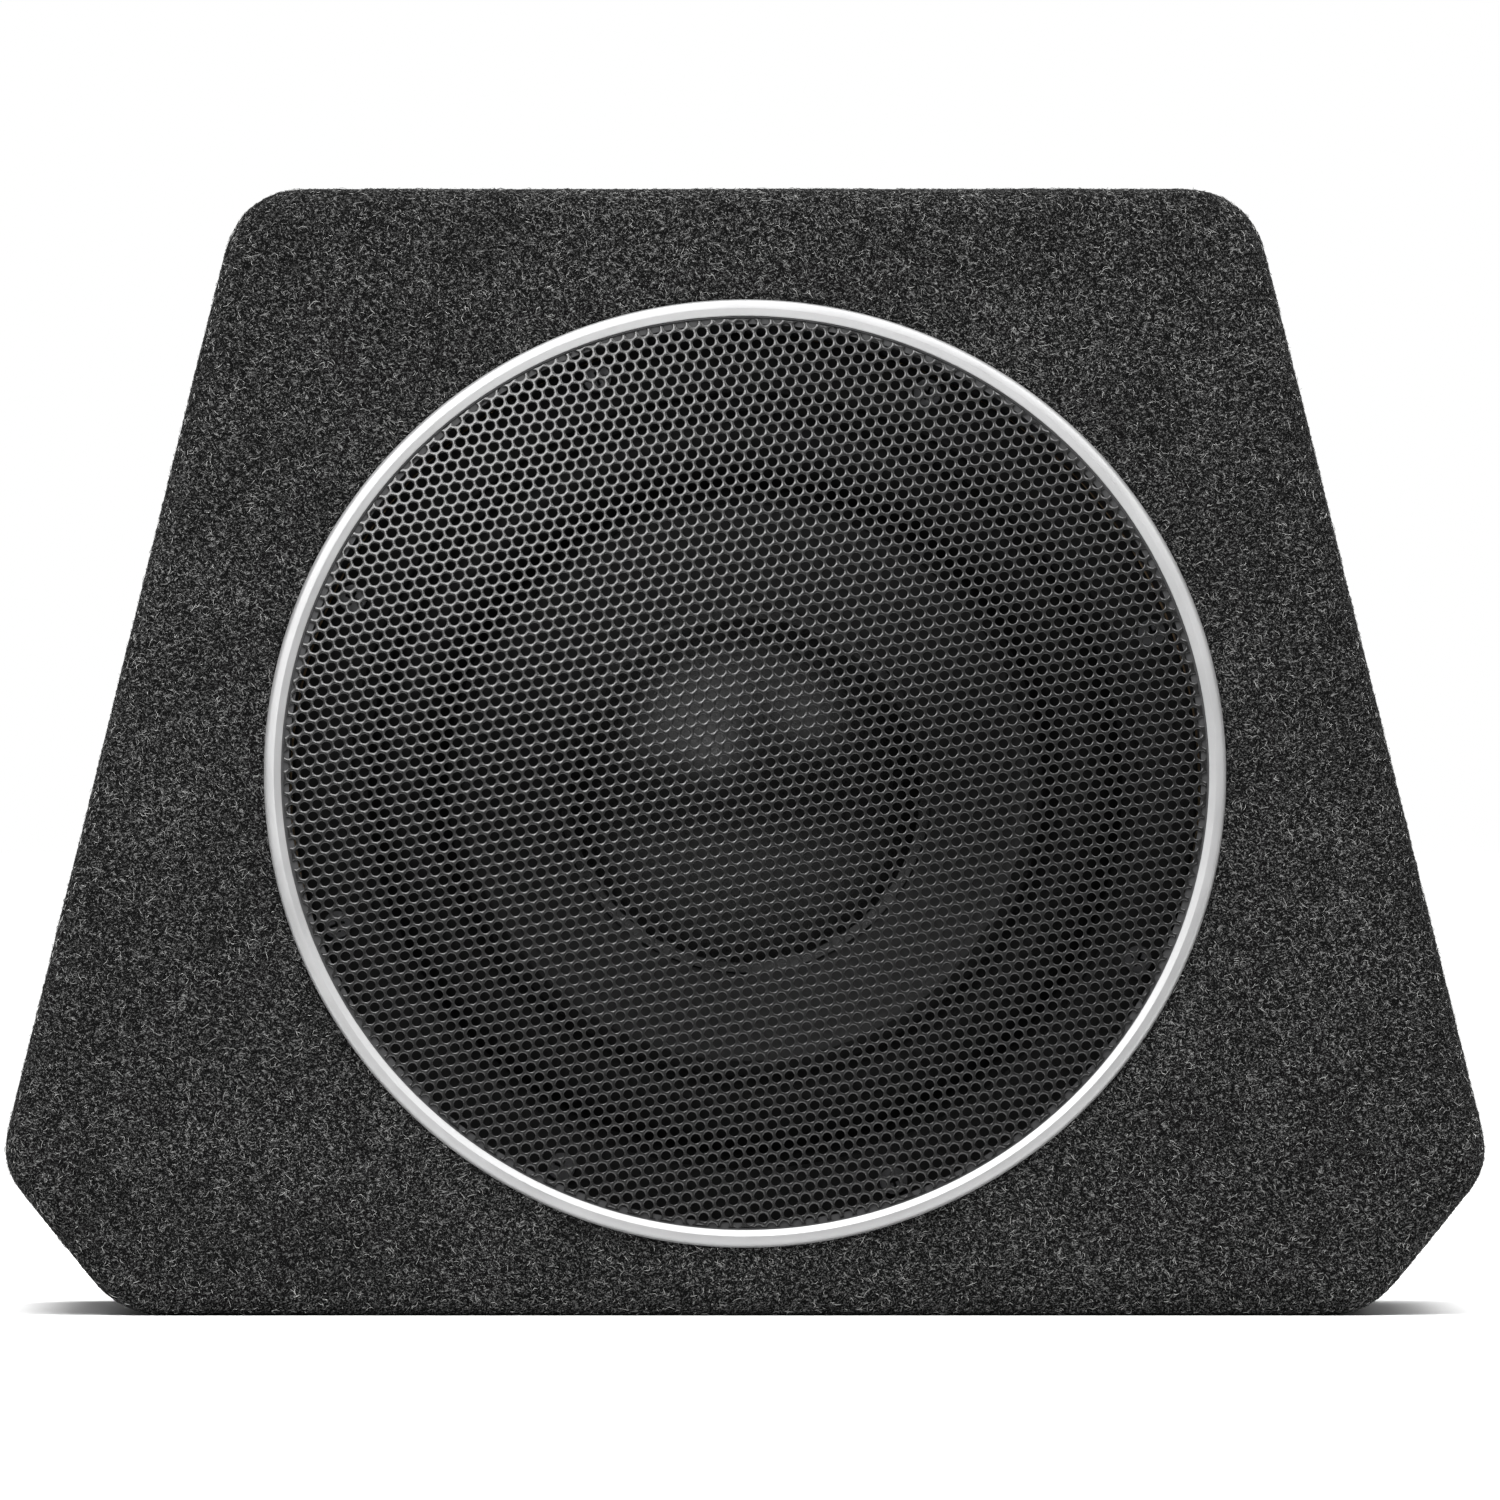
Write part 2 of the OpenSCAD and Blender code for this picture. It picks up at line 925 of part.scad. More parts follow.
module level_pot() {
  pot(knob_places[0]);
}

module crossover_pot() {
  pot(knob_places[1]);
}

module boost_pot() {
  pot(knob_places[2]);
}

module switch_body(x) {
  long = switch_travel + 9;
  color("#b4b8bc")
    difference() {
      amp_box(x + switch_travel / 2, switch_rise, board_top, [20, back_y - board_top, 9]);
      amp_box(x + switch_travel / 2, switch_rise, back_y - 5, [long, 8, 6]);
    }
}

module switch_slider(x) {
  color("#0f0f10")
    union() {
      amp_box(x, switch_rise, back_y - 4.9, [8.6, 4.4, 5.8]);
      amp_box(x, switch_rise, back_y - 1, [4.4, plate_t + 4.5, 4.4]);
    }
}

module phase_switch() {
  switch_body(switch_places[0]);
}

module phase_slider() {
  switch_slider(switch_places[0]);
}

module auto_switch() {
  switch_body(switch_places[1]);
}

module auto_slider() {
  switch_slider(switch_places[1]);
}

module status_lamp() {
  color("#2f9e5a")
    on_amp(led_place, switch_rise, board_top) {
      cylinder(r = 1.5, h = plate_y + 0.6 - board_top, $fn = 32);
      translate([0, 0, plate_y + 0.6 - board_top])
        sphere(r = 1.5, $fn = 32);
    }
}

module power_block() {
  wide = block_to - block_from;
  middle = (block_from + block_to) / 2;
  deep = plate_y + 11 - board_top;
  face = board_top + deep;
  color("#151516")
    difference() {
      amp_box(middle, block_rise, board_top, [wide, deep, 2 * block_half]);
      for (x = cable_places)
        on_amp(x, block_rise - 3, face - 16)
          cylinder(r = cable_radius, h = 20);
      on_amp(remote_place, block_rise - 3, face - 14)
        cylinder(r = 2.2, h = 20);
      for (x = [cable_places[0], remote_place, cable_places[1]])
        translate([x, face - 7, amp_height + block_rise - 1])
          cylinder(r = 2.6, h = 20);
      for (x = fuse_places) {
        amp_box(x, block_rise, face - 6, [5.6, 8, 19.6]);
        for (side = [-1, 1])
          amp_box(x, block_rise + side * 6, face - 16, [1.2, 12, 5.6]);
      }
    }
}

module power_screws() {
  face = plate_y + 11;
  low = amp_height + block_rise + 0.6;
  color("#9da1a6")
    for (x = [cable_places[0], remote_place, cable_places[1]])
      translate([x, face - 7, low])
        difference() {
          cylinder(r = 2.5, h = 10);
          translate([-3, -0.5, 8.8])
            cube([6, 1, 3]);
        }
}

module fuses() {
  face = plate_y + 11;
  color("#c4622d")
    for (x = fuse_places) {
      amp_box(x, block_rise, face - 5.9, [5.2, 12.4, 19]);
      for (side = [-1, 1])
        amp_box(x, block_rise + side * 6, face - 15, [0.8, 9.5, 5.2]);
    }
}

module rca_block() {
  color("#18181a")
    difference() {
      union() {
        amp_box(32, jack_rise, board_top, [38, back_y - board_top, 15]);
        for (x = rca_places)
          on_amp(x, jack_rise, back_y - 1)
            cylinder(r = 3.5, h = 12.5);
      }
      for (x = rca_places)
        on_amp(x, jack_rise, back_y - 2)
          cylinder(r = 1.65, h = 20, $fn = 32);
    }
}

module rca_barrels() {
  color("#c9ccd0")
    for (x = rca_places)
      on_amp(x, jack_rise, back_y)
        difference() {
          union() {
            cylinder(r = 5.2, h = plate_t + 0.8);
            cylinder(r = 4.15, h = plate_t + 9.5);
          }
          translate([0, 0, -1])
            cylinder(r = 3.55, h = 30);
        }
}

module input_socket() {
  color("#e4e1d6")
    difference() {
      amp_box(socket_place, jack_rise, board_top, [22, plate_y + 2 - board_top, 12]);
      amp_box(socket_place, jack_rise, board_top + 8, [18.4, 40, 8.4]);
      amp_box(socket_place, jack_rise + 5, plate_y - 6, [6, 20, 4]);
    }
}

module input_pins() {
  color("#c9a03a")
    for (k = [0:3])
      amp_box(socket_place - 6.3 + 4.2 * k, jack_rise, board_top + 8, [1, 4, 1]);
}

module remote_port() {
  color("#202022")
    difference() {
      amp_box(port_place, jack_rise, board_top, [15, plate_y + 0.5 - board_top, 13]);
      amp_box(port_place, jack_rise + 1, board_top + 6, [11.6, 40, 8]);
      amp_box(port_place, jack_rise - 4, board_top + 8, [6, 40, 3.2]);
    }
}

baffle_front();
baffle_inner();
top_panel();
left_panel();
right_panel();
left_corner_panel();
right_corner_panel();
bottom_panel();
back_panel();
carpet_front();
carpet_wrap();
carpet_bottom();
carpet_back();
grille_mesh();
grille_ring();
grille_carrier();
basket();
front_gasket();
surround();
cone();
dust_cap();
coil_former();
voice_coil();
spider();
top_plate();
magnet();
yoke();
terminal_board();
tinsel_leads();
driver_screws();
lead_positive();
lead_negative();
amp_plate();
heatsink();
amp_tray();
amp_gasket();
amp_screws();
circuit_board();
transformer();
capacitors();
power_transistors();
level_knob();
crossover_knob();
boost_knob();
level_pot();
crossover_pot();
boost_pot();
phase_switch();
phase_slider();
auto_switch();
auto_slider();
status_lamp();
power_block();
power_screws();
fuses();
rca_block();
rca_barrels();
input_socket();
input_pins();
remote_port();
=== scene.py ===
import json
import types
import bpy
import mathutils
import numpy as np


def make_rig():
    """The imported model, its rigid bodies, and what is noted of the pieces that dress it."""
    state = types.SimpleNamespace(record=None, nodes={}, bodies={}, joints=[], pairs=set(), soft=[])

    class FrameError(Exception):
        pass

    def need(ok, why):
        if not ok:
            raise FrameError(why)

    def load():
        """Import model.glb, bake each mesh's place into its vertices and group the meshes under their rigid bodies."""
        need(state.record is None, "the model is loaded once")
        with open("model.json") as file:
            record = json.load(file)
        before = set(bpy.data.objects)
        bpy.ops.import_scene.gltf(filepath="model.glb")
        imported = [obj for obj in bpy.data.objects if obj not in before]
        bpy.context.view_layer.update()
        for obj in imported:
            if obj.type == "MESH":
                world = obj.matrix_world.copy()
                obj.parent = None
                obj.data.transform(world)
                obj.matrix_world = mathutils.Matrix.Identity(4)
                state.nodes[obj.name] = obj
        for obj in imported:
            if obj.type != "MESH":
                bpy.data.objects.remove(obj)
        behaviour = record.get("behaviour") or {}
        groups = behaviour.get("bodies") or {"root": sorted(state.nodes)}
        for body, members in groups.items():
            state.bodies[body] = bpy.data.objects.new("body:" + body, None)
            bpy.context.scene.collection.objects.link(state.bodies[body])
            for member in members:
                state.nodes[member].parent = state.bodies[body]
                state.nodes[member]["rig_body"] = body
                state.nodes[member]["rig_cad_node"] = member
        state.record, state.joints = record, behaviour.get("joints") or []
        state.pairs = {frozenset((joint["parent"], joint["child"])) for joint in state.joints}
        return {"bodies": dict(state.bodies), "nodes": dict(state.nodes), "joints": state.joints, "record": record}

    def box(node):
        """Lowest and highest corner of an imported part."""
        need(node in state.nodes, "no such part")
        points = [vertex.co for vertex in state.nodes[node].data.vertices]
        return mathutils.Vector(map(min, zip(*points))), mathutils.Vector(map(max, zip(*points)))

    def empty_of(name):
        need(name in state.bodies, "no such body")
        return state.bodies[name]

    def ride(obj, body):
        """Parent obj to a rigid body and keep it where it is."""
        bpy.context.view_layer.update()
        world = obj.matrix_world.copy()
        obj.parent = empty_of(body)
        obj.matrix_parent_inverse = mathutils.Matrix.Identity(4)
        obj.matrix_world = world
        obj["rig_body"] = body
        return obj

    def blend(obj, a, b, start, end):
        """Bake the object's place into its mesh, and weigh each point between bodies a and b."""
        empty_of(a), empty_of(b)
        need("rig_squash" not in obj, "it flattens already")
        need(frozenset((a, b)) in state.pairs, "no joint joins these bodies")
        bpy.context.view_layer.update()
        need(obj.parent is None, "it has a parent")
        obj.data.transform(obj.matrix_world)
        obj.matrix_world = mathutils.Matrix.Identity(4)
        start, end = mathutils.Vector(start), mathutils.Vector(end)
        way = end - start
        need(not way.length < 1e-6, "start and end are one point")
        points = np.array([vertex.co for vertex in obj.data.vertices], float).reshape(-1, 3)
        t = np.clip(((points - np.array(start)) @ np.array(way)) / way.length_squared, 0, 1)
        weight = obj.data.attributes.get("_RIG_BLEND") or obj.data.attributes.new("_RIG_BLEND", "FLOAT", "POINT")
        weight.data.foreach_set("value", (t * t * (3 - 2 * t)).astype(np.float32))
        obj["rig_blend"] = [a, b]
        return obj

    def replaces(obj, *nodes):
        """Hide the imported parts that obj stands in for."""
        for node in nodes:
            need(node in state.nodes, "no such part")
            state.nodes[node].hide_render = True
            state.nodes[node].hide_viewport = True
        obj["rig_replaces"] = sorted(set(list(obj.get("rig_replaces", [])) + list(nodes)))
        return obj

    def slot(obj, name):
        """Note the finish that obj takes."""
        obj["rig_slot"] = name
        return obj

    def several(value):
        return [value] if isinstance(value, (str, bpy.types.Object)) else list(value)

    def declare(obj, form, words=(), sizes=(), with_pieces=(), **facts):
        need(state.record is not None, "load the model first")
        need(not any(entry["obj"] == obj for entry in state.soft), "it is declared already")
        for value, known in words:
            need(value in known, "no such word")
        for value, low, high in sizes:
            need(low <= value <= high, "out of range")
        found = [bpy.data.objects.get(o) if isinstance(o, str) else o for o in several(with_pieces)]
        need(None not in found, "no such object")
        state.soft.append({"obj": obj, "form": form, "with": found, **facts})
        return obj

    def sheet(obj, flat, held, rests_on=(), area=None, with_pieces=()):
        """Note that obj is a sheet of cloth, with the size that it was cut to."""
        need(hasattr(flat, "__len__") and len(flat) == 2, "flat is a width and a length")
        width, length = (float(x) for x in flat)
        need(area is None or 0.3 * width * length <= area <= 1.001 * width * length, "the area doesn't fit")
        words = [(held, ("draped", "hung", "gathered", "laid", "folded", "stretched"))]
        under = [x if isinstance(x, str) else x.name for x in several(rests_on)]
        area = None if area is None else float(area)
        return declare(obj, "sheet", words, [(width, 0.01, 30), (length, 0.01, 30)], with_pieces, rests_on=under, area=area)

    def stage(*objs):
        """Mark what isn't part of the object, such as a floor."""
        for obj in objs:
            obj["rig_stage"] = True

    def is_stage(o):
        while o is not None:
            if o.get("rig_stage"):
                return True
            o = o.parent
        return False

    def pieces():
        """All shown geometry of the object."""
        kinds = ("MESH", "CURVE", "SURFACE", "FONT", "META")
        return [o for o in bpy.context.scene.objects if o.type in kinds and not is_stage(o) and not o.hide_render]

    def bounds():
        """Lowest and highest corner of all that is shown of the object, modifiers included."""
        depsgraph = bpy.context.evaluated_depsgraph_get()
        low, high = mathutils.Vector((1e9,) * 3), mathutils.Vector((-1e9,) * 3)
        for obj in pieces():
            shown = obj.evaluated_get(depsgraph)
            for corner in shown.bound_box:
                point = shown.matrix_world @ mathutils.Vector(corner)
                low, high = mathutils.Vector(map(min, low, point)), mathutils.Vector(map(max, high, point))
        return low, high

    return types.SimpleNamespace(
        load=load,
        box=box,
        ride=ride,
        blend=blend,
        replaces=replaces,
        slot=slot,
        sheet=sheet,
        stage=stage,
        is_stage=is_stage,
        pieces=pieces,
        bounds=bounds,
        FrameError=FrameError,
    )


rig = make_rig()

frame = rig.load()

import json
import math

import bmesh
import bpy
import numpy as np
from mathutils import Vector, noise

start_low, start_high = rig.bounds()
MM = 0.001
DRAW = np.random.default_rng(11)
X_AXIS = np.array((1.0, 0.0, 0.0))

# ---------------------------------------------------------------- places, all read from the frame


def corners(node):
    """The vertices of a CAD node."""
    mesh = frame["nodes"][node].data
    found = np.empty(len(mesh.vertices) * 3, np.float32)
    mesh.vertices.foreach_get("co", found)
    return found.reshape(-1, 3).astype(float)


def middle(node):
    low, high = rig.box(node)
    return np.array((low + high) / 2)


joints = {j["name"]: j for j in frame["joints"]}
OUT = np.array(joints["cone_travel"]["axis"], float)
OUT /= np.linalg.norm(OUT)
UP = np.cross(OUT, X_AXIS)
AXIS_POINT = middle("magnet")


def around_axis(node):
    """(radius, height) of each vertex of a node about the woofer's axis."""
    away = corners(node) - AXIS_POINT
    height = away @ OUT
    return np.linalg.norm(away - height[:, None] * OUT, axis=1), height


def profile_ends(node):
    """The least and greatest radius and height of a node about the woofer's axis, then all of both."""
    radius, height = around_axis(node)
    return radius.min(), radius.max(), height.min(), height.max(), radius, height


def on_axis(x, up, height):
    """Points given across, up the baffle and out along the woofer's axis."""
    x, up, height = np.broadcast_arrays(x, up, height)
    return AXIS_POINT + x[..., None] * X_AXIS + up[..., None] * UP + height[..., None] * OUT


# ---------------------------------------------------------------- meshes


def make_object(name, points, faces, body, smooth_angle=None):
    """A piece from points and faces. It rides on the body, or on none yet."""
    mesh = bpy.data.meshes.new(name)
    mesh.from_pydata([tuple(p) for p in np.asarray(points, float)], [], faces)
    mesh.update()
    mesh.validate()
    thing = bpy.data.objects.new(name, mesh)
    bpy.context.scene.collection.objects.link(thing)
    if smooth_angle is not None:
        mesh.polygons.foreach_set("use_smooth", [True] * len(mesh.polygons))
        mesh.set_sharp_from_angle(angle=math.radians(smooth_angle))
    if body:
        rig.ride(thing, body)
    return thing


def grid_faces(rings, count, wrap_rings, wrap_count):
    """Quads of a grid of rings, each of count points."""
    faces = []
    for r in range(rings if wrap_rings else rings - 1):
        a, b = r * count, ((r + 1) % rings) * count
        for i in range(count if wrap_count else count - 1):
            j = (i + 1) % count
            faces.append((a + i, b + i, b + j, a + j))
    return faces


def face_out(thing):
    """Turns the normals outward if the closed mesh's volume is negative."""
    mesh = thing.data
    mesh.calc_loop_triangles()
    points = np.empty(len(mesh.vertices) * 3)
    mesh.vertices.foreach_get("co", points)
    points = points.reshape(-1, 3)
    triangles = np.empty(len(mesh.loop_triangles) * 3, np.int32)
    mesh.loop_triangles.foreach_get("vertices", triangles)
    a, b, c = (points[triangles.reshape(-1, 3)[:, k]] for k in range(3))
    if (a * np.cross(b, c)).sum() < 0:
        mesh.flip_normals()
        mesh.update()


def spin(name, profile, body, segments=240, smooth_angle=35):
    """A closed profile of (radius, height) turned about the woofer's axis."""
    profile = np.array(profile, float)
    turns = np.linspace(0, 2 * math.pi, segments, endpoint=False)
    radius, height = profile[:, 0][:, None], profile[:, 1][:, None]
    points = on_axis(radius * np.cos(turns), radius * np.sin(turns), height)
    faces = grid_faces(len(profile), segments, True, True)
    thing = make_object(name, points.reshape(-1, 3), faces, body, smooth_angle)
    face_out(thing)
    return thing


def arc(centre, radius, first, last, steps):
    """Points of an arc between two angles in degrees."""
    turns = np.radians(np.linspace(first, last, steps))
    return [(centre[0] + radius * math.cos(t), centre[1] + radius * math.sin(t)) for t in turns]


def tube(name, path, radius, body, sides):
    """A round tube along points, with closed ends."""
    path = np.array(path, float)
    ahead = np.gradient(path, axis=0)
    ahead /= np.linalg.norm(ahead, axis=1)[:, None]
    side = np.cross(ahead[0], (0.31, 0.52, 0.8))
    rings = []
    for p, t in zip(path, ahead):
        side = side - (side @ t) * t
        side /= np.linalg.norm(side)
        other = np.cross(t, side)
        for k in range(sides):
            a = 2 * math.pi * k / sides
            rings.append(p + radius * (math.cos(a) * side + math.sin(a) * other))
    faces = grid_faces(len(path), sides, False, True)
    faces += [tuple(range(sides)), tuple(reversed(range((len(path) - 1) * sides, len(path) * sides)))]
    thing = make_object(name, rings, faces, body, 50)
    face_out(thing)
    return thing


def smooth_path(points, steps):
    """A line of evenly spaced points that rounds off the given corners."""
    points = np.array(points, float)
    for _ in range(3):
        cut = [points[0]]
        for a, b in zip(points[:-1], points[1:]):
            cut += [0.8 * a + 0.2 * b, 0.2 * a + 0.8 * b]
        points = np.array(cut + [points[-1]])
    far = np.concatenate(([0], np.cumsum(np.linalg.norm(np.diff(points, axis=0), axis=1))))
    want = np.linspace(0, far[-1], steps)
    return np.stack([np.interp(want, far, points[:, k]) for k in range(3)], 1)


def welded_copy(node, name):
    """A CAD node's mesh as a piece of its own, with its split vertices joined again."""
    mesh = frame["nodes"][node].data.copy()
    whole = bmesh.new()
    whole.from_mesh(mesh)
    bmesh.ops.remove_doubles(whole, verts=whole.verts, dist=0.002 * MM)
    whole.to_mesh(mesh)
    whole.free()
    mesh.polygons.foreach_set("use_smooth", [True] * len(mesh.polygons))
    mesh.set_sharp_from_angle(angle=math.radians(35))
    thing = bpy.data.objects.new(name, mesh)
    bpy.context.scene.collection.objects.link(thing)
    return thing


def bend_by_radius(thing, inner, outer):
    """The piece follows the cone inside the inner radius and the frame outside the outer one."""
    points = np.empty(len(thing.data.vertices) * 3)
    thing.data.vertices.foreach_get("co", points)
    away = points.reshape(-1, 3) - AXIS_POINT
    away -= (away @ OUT)[:, None] * OUT
    share = np.clip((np.linalg.norm(away, axis=1) - inner) / (outer - inner), 0, 1)
    start, end = on_axis(inner, 0, 0), on_axis(outer, 0, 0)
    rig.blend(thing, "moving_cone", "cabinet", start=start, end=end)
    weights = (share * share * (3 - 2 * share)).astype(np.float32)
    thing.data.attributes["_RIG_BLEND"].data.foreach_set("value", weights)


# ---------------------------------------------------------------- materials


def material(name, color, roughness, metallic=0.0):
    made = bpy.data.materials.new(name)
    made.use_nodes = True
    shader = made.node_tree.nodes["Principled BSDF"]
    shader.inputs["Base Color"].default_value = (*color, 1)
    shader.inputs["Roughness"].default_value = roughness
    shader.inputs["Metallic"].default_value = metallic
    return made, made.node_tree, shader


def add(tree, kind, **values):
    """A new node with the given inputs and settings."""
    made = tree.nodes.new(kind)
    for key, value in values.items():
        if key in made.inputs:
            made.inputs[key].default_value = value
        else:
            setattr(made, key, value)
    return made


def object_noise(tree, scale, detail=2.0, stretch=None, along=(0, 0, 1)):
    """A noise texture in object coordinates.

    stretch is its scale along each axis, with the last axis turned to lie along a direction.
    """
    place = add(tree, "ShaderNodeTexCoord").outputs["Object"]
    if stretch is not None:
        mapping = add(tree, "ShaderNodeMapping", vector_type="TEXTURE")
        turn = Vector((0, 0, 1)).rotation_difference(Vector(along))
        mapping.inputs["Rotation"].default_value = turn.to_euler()
        mapping.inputs["Scale"].default_value = [1 / n for n in stretch]
        tree.links.new(place, mapping.inputs["Vector"])
        place = mapping.outputs["Vector"]
    made = add(tree, "ShaderNodeTexNoise", Scale=scale, Detail=detail, Roughness=0.5)
    tree.links.new(place, made.inputs["Vector"])
    return made.outputs["Fac"]


def remap(tree, value, low, high, to_low=0.0, to_high=1.0):
    made = add(tree, "ShaderNodeMapRange")
    for key, number in (("From Min", low), ("From Max", high), ("To Min", to_low), ("To Max", to_high)):
        made.inputs[key].default_value = number
    tree.links.new(value, made.inputs["Value"])
    return made.outputs["Result"]


def calculate(tree, operation, a, b):
    made = add(tree, "ShaderNodeMath", operation=operation)
    for k, value in enumerate((a, b)):
        if isinstance(value, (int, float)):
            made.inputs[k].default_value = value
        else:
            tree.links.new(value, made.inputs[k])
    return made.outputs[0]


def mixed(tree, one, other, share):
    """One value times the share, plus the other times the rest."""
    return calculate(
        tree, "ADD", calculate(tree, "MULTIPLY", one, share), calculate(tree, "MULTIPLY", other, 1 - share)
    )


def paint(tree, shader, share, dark, light):
    """Colours the surface between dark and light."""
    made = add(tree, "ShaderNodeMix", data_type="RGBA")
    share_in, dark_in, light_in, color_out = made.inputs[0], made.inputs[6], made.inputs[7], made.outputs[2]
    dark_in.default_value = (*dark, 1)
    light_in.default_value = (*light, 1)
    tree.links.new(share, share_in)
    tree.links.new(color_out, shader.inputs["Base Color"])


def shaded(color, factor):
    return tuple(min(c * factor, 1) for c in color)


def bump(tree, shader, height, strength, distance):
    made = add(tree, "ShaderNodeBump", Strength=strength, Distance=distance)
    tree.links.new(height, made.inputs["Height"])
    tree.links.new(made.outputs["Normal"], shader.inputs["Normal"])


def coated(name, color, roughness, metallic=0.0, grain=900, depth=0.02, spread=0.06, shade=0.25, gloss=0.5):
    """A plain finish with a fine grain in its tone, roughness and surface. depth is in millimetres."""
    made, tree, shader = material(name, color, roughness, metallic)
    shader.inputs["Specular IOR Level"].default_value = gloss
    fine = object_noise(tree, grain, 3)
    broad = object_noise(tree, 18, 2)
    tone = remap(tree, mixed(tree, fine, broad, 0.5), 0.3, 0.7)
    paint(tree, shader, tone, shaded(color, 1 - shade), shaded(color, 1 + shade))
    rough = remap(tree, fine, 0.3, 0.7, roughness - spread, roughness + spread)
    tree.links.new(rough, shader.inputs["Roughness"])
    bump(tree, shader, fine, 0.6, depth * MM)
    return made


def felt():
    """Needled felt: short streaks in many directions, from charcoal to light grey."""
    made, tree, shader = material("felt", (0.034, 0.034, 0.036), 0.95)
    shader.inputs["Specular IOR Level"].default_value = 0.05
    lies = (
        (1.0, 0.2, 0.25), (0.6, -0.3, 0.8), (-0.5, 0.4, 0.75), (-1.0, 0.3, 0.35),
        (0.3, 1.0, 0.2), (-0.2, 0.9, 0.5), (0.1, -0.8, 0.7), (0.9, -0.8, 0.1),
    )
    streaks = None
    for k, along in enumerate(lies):
        streak = object_noise(tree, 1.0, 1, (1500 + 70 * k, 1620, 330), along)
        shown = remap(tree, streak, 0.60, 0.73)
        streaks = shown if streaks is None else calculate(tree, "MAXIMUM", streaks, shown)
    speck = remap(tree, object_noise(tree, 700, 2), 0.35, 0.65)
    broad = remap(tree, object_noise(tree, 26, 3), 0.3, 0.7, 0.72, 1.15)
    pile_tone = mixed(tree, streaks, speck, 0.75)
    share = calculate(tree, "MULTIPLY", calculate(tree, "POWER", pile_tone, 3.2), broad)
    paint(tree, shader, share, (0.0016, 0.0016, 0.0016), (0.15, 0.15, 0.148))
    bump(tree, shader, pile_tone, 0.7, 0.35 * MM)
    return made


def fibre(name, color):
    made, tree, shader = material(name, color, 0.75)
    shader.inputs["Specular IOR Level"].default_value = 0.15
    paint(tree, shader, remap(tree, object_noise(tree, 240, 2), 0.3, 0.7), shaded(color, 0.45), color)
    return made


def silver_lacquer(name, color, roughness, metallic):
    """Silver lacquer over plastic, with a fine grain."""
    made, tree, shader = material(name, color, roughness, metallic)
    fine = object_noise(tree, 1400, 2)
    broad = object_noise(tree, 40, 2)
    both = calculate(tree, "ADD", fine, broad)
    rough = remap(tree, both, 0.7, 1.3, roughness - 0.05, roughness + 0.07)
    tree.links.new(rough, shader.inputs["Roughness"])
    paint(tree, shader, remap(tree, broad, 0.3, 0.7), shaded(color, 0.9), color)
    bump(tree, shader, fine, 0.25, 0.01 * MM)
    return made


def board_wood(name):
    """Pressed wood chips."""
    made, tree, shader = material(name, (0.42, 0.29, 0.17), 0.8)
    chips = remap(tree, object_noise(tree, 520, 4), 0.3, 0.7)
    paint(tree, shader, chips, (0.30, 0.20, 0.11), (0.52, 0.37, 0.22))
    bump(tree, shader, chips, 0.4, 0.05 * MM)
    return made


def wound_copper(name):
    """Copper wire, with fine turns stacked along Z."""
    made, tree, shader = material(name, (0.62, 0.27, 0.11), 0.35, 1.0)
    turns = object_noise(tree, 1.0, 0, (90, 90, 2600))
    paint(tree, shader, remap(tree, turns, 0.35, 0.65), (0.30, 0.11, 0.05), (0.72, 0.34, 0.16))
    bump(tree, shader, turns, 0.5, 0.1 * MM)
    return made


def woven(name, color):
    """Cloth with threads in two directions."""
    made, tree, shader = material(name, color, 0.85)
    one = object_noise(tree, 1.0, 0, (2600, 500, 500))
    two = object_noise(tree, 1.0, 0, (500, 500, 2600))
    weave = calculate(tree, "MULTIPLY", one, two)
    paint(tree, shader, remap(tree, weave, 0.15, 0.35), shaded(color, 0.55), color)
    bump(tree, shader, weave, 0.6, 0.15 * MM)
    return made


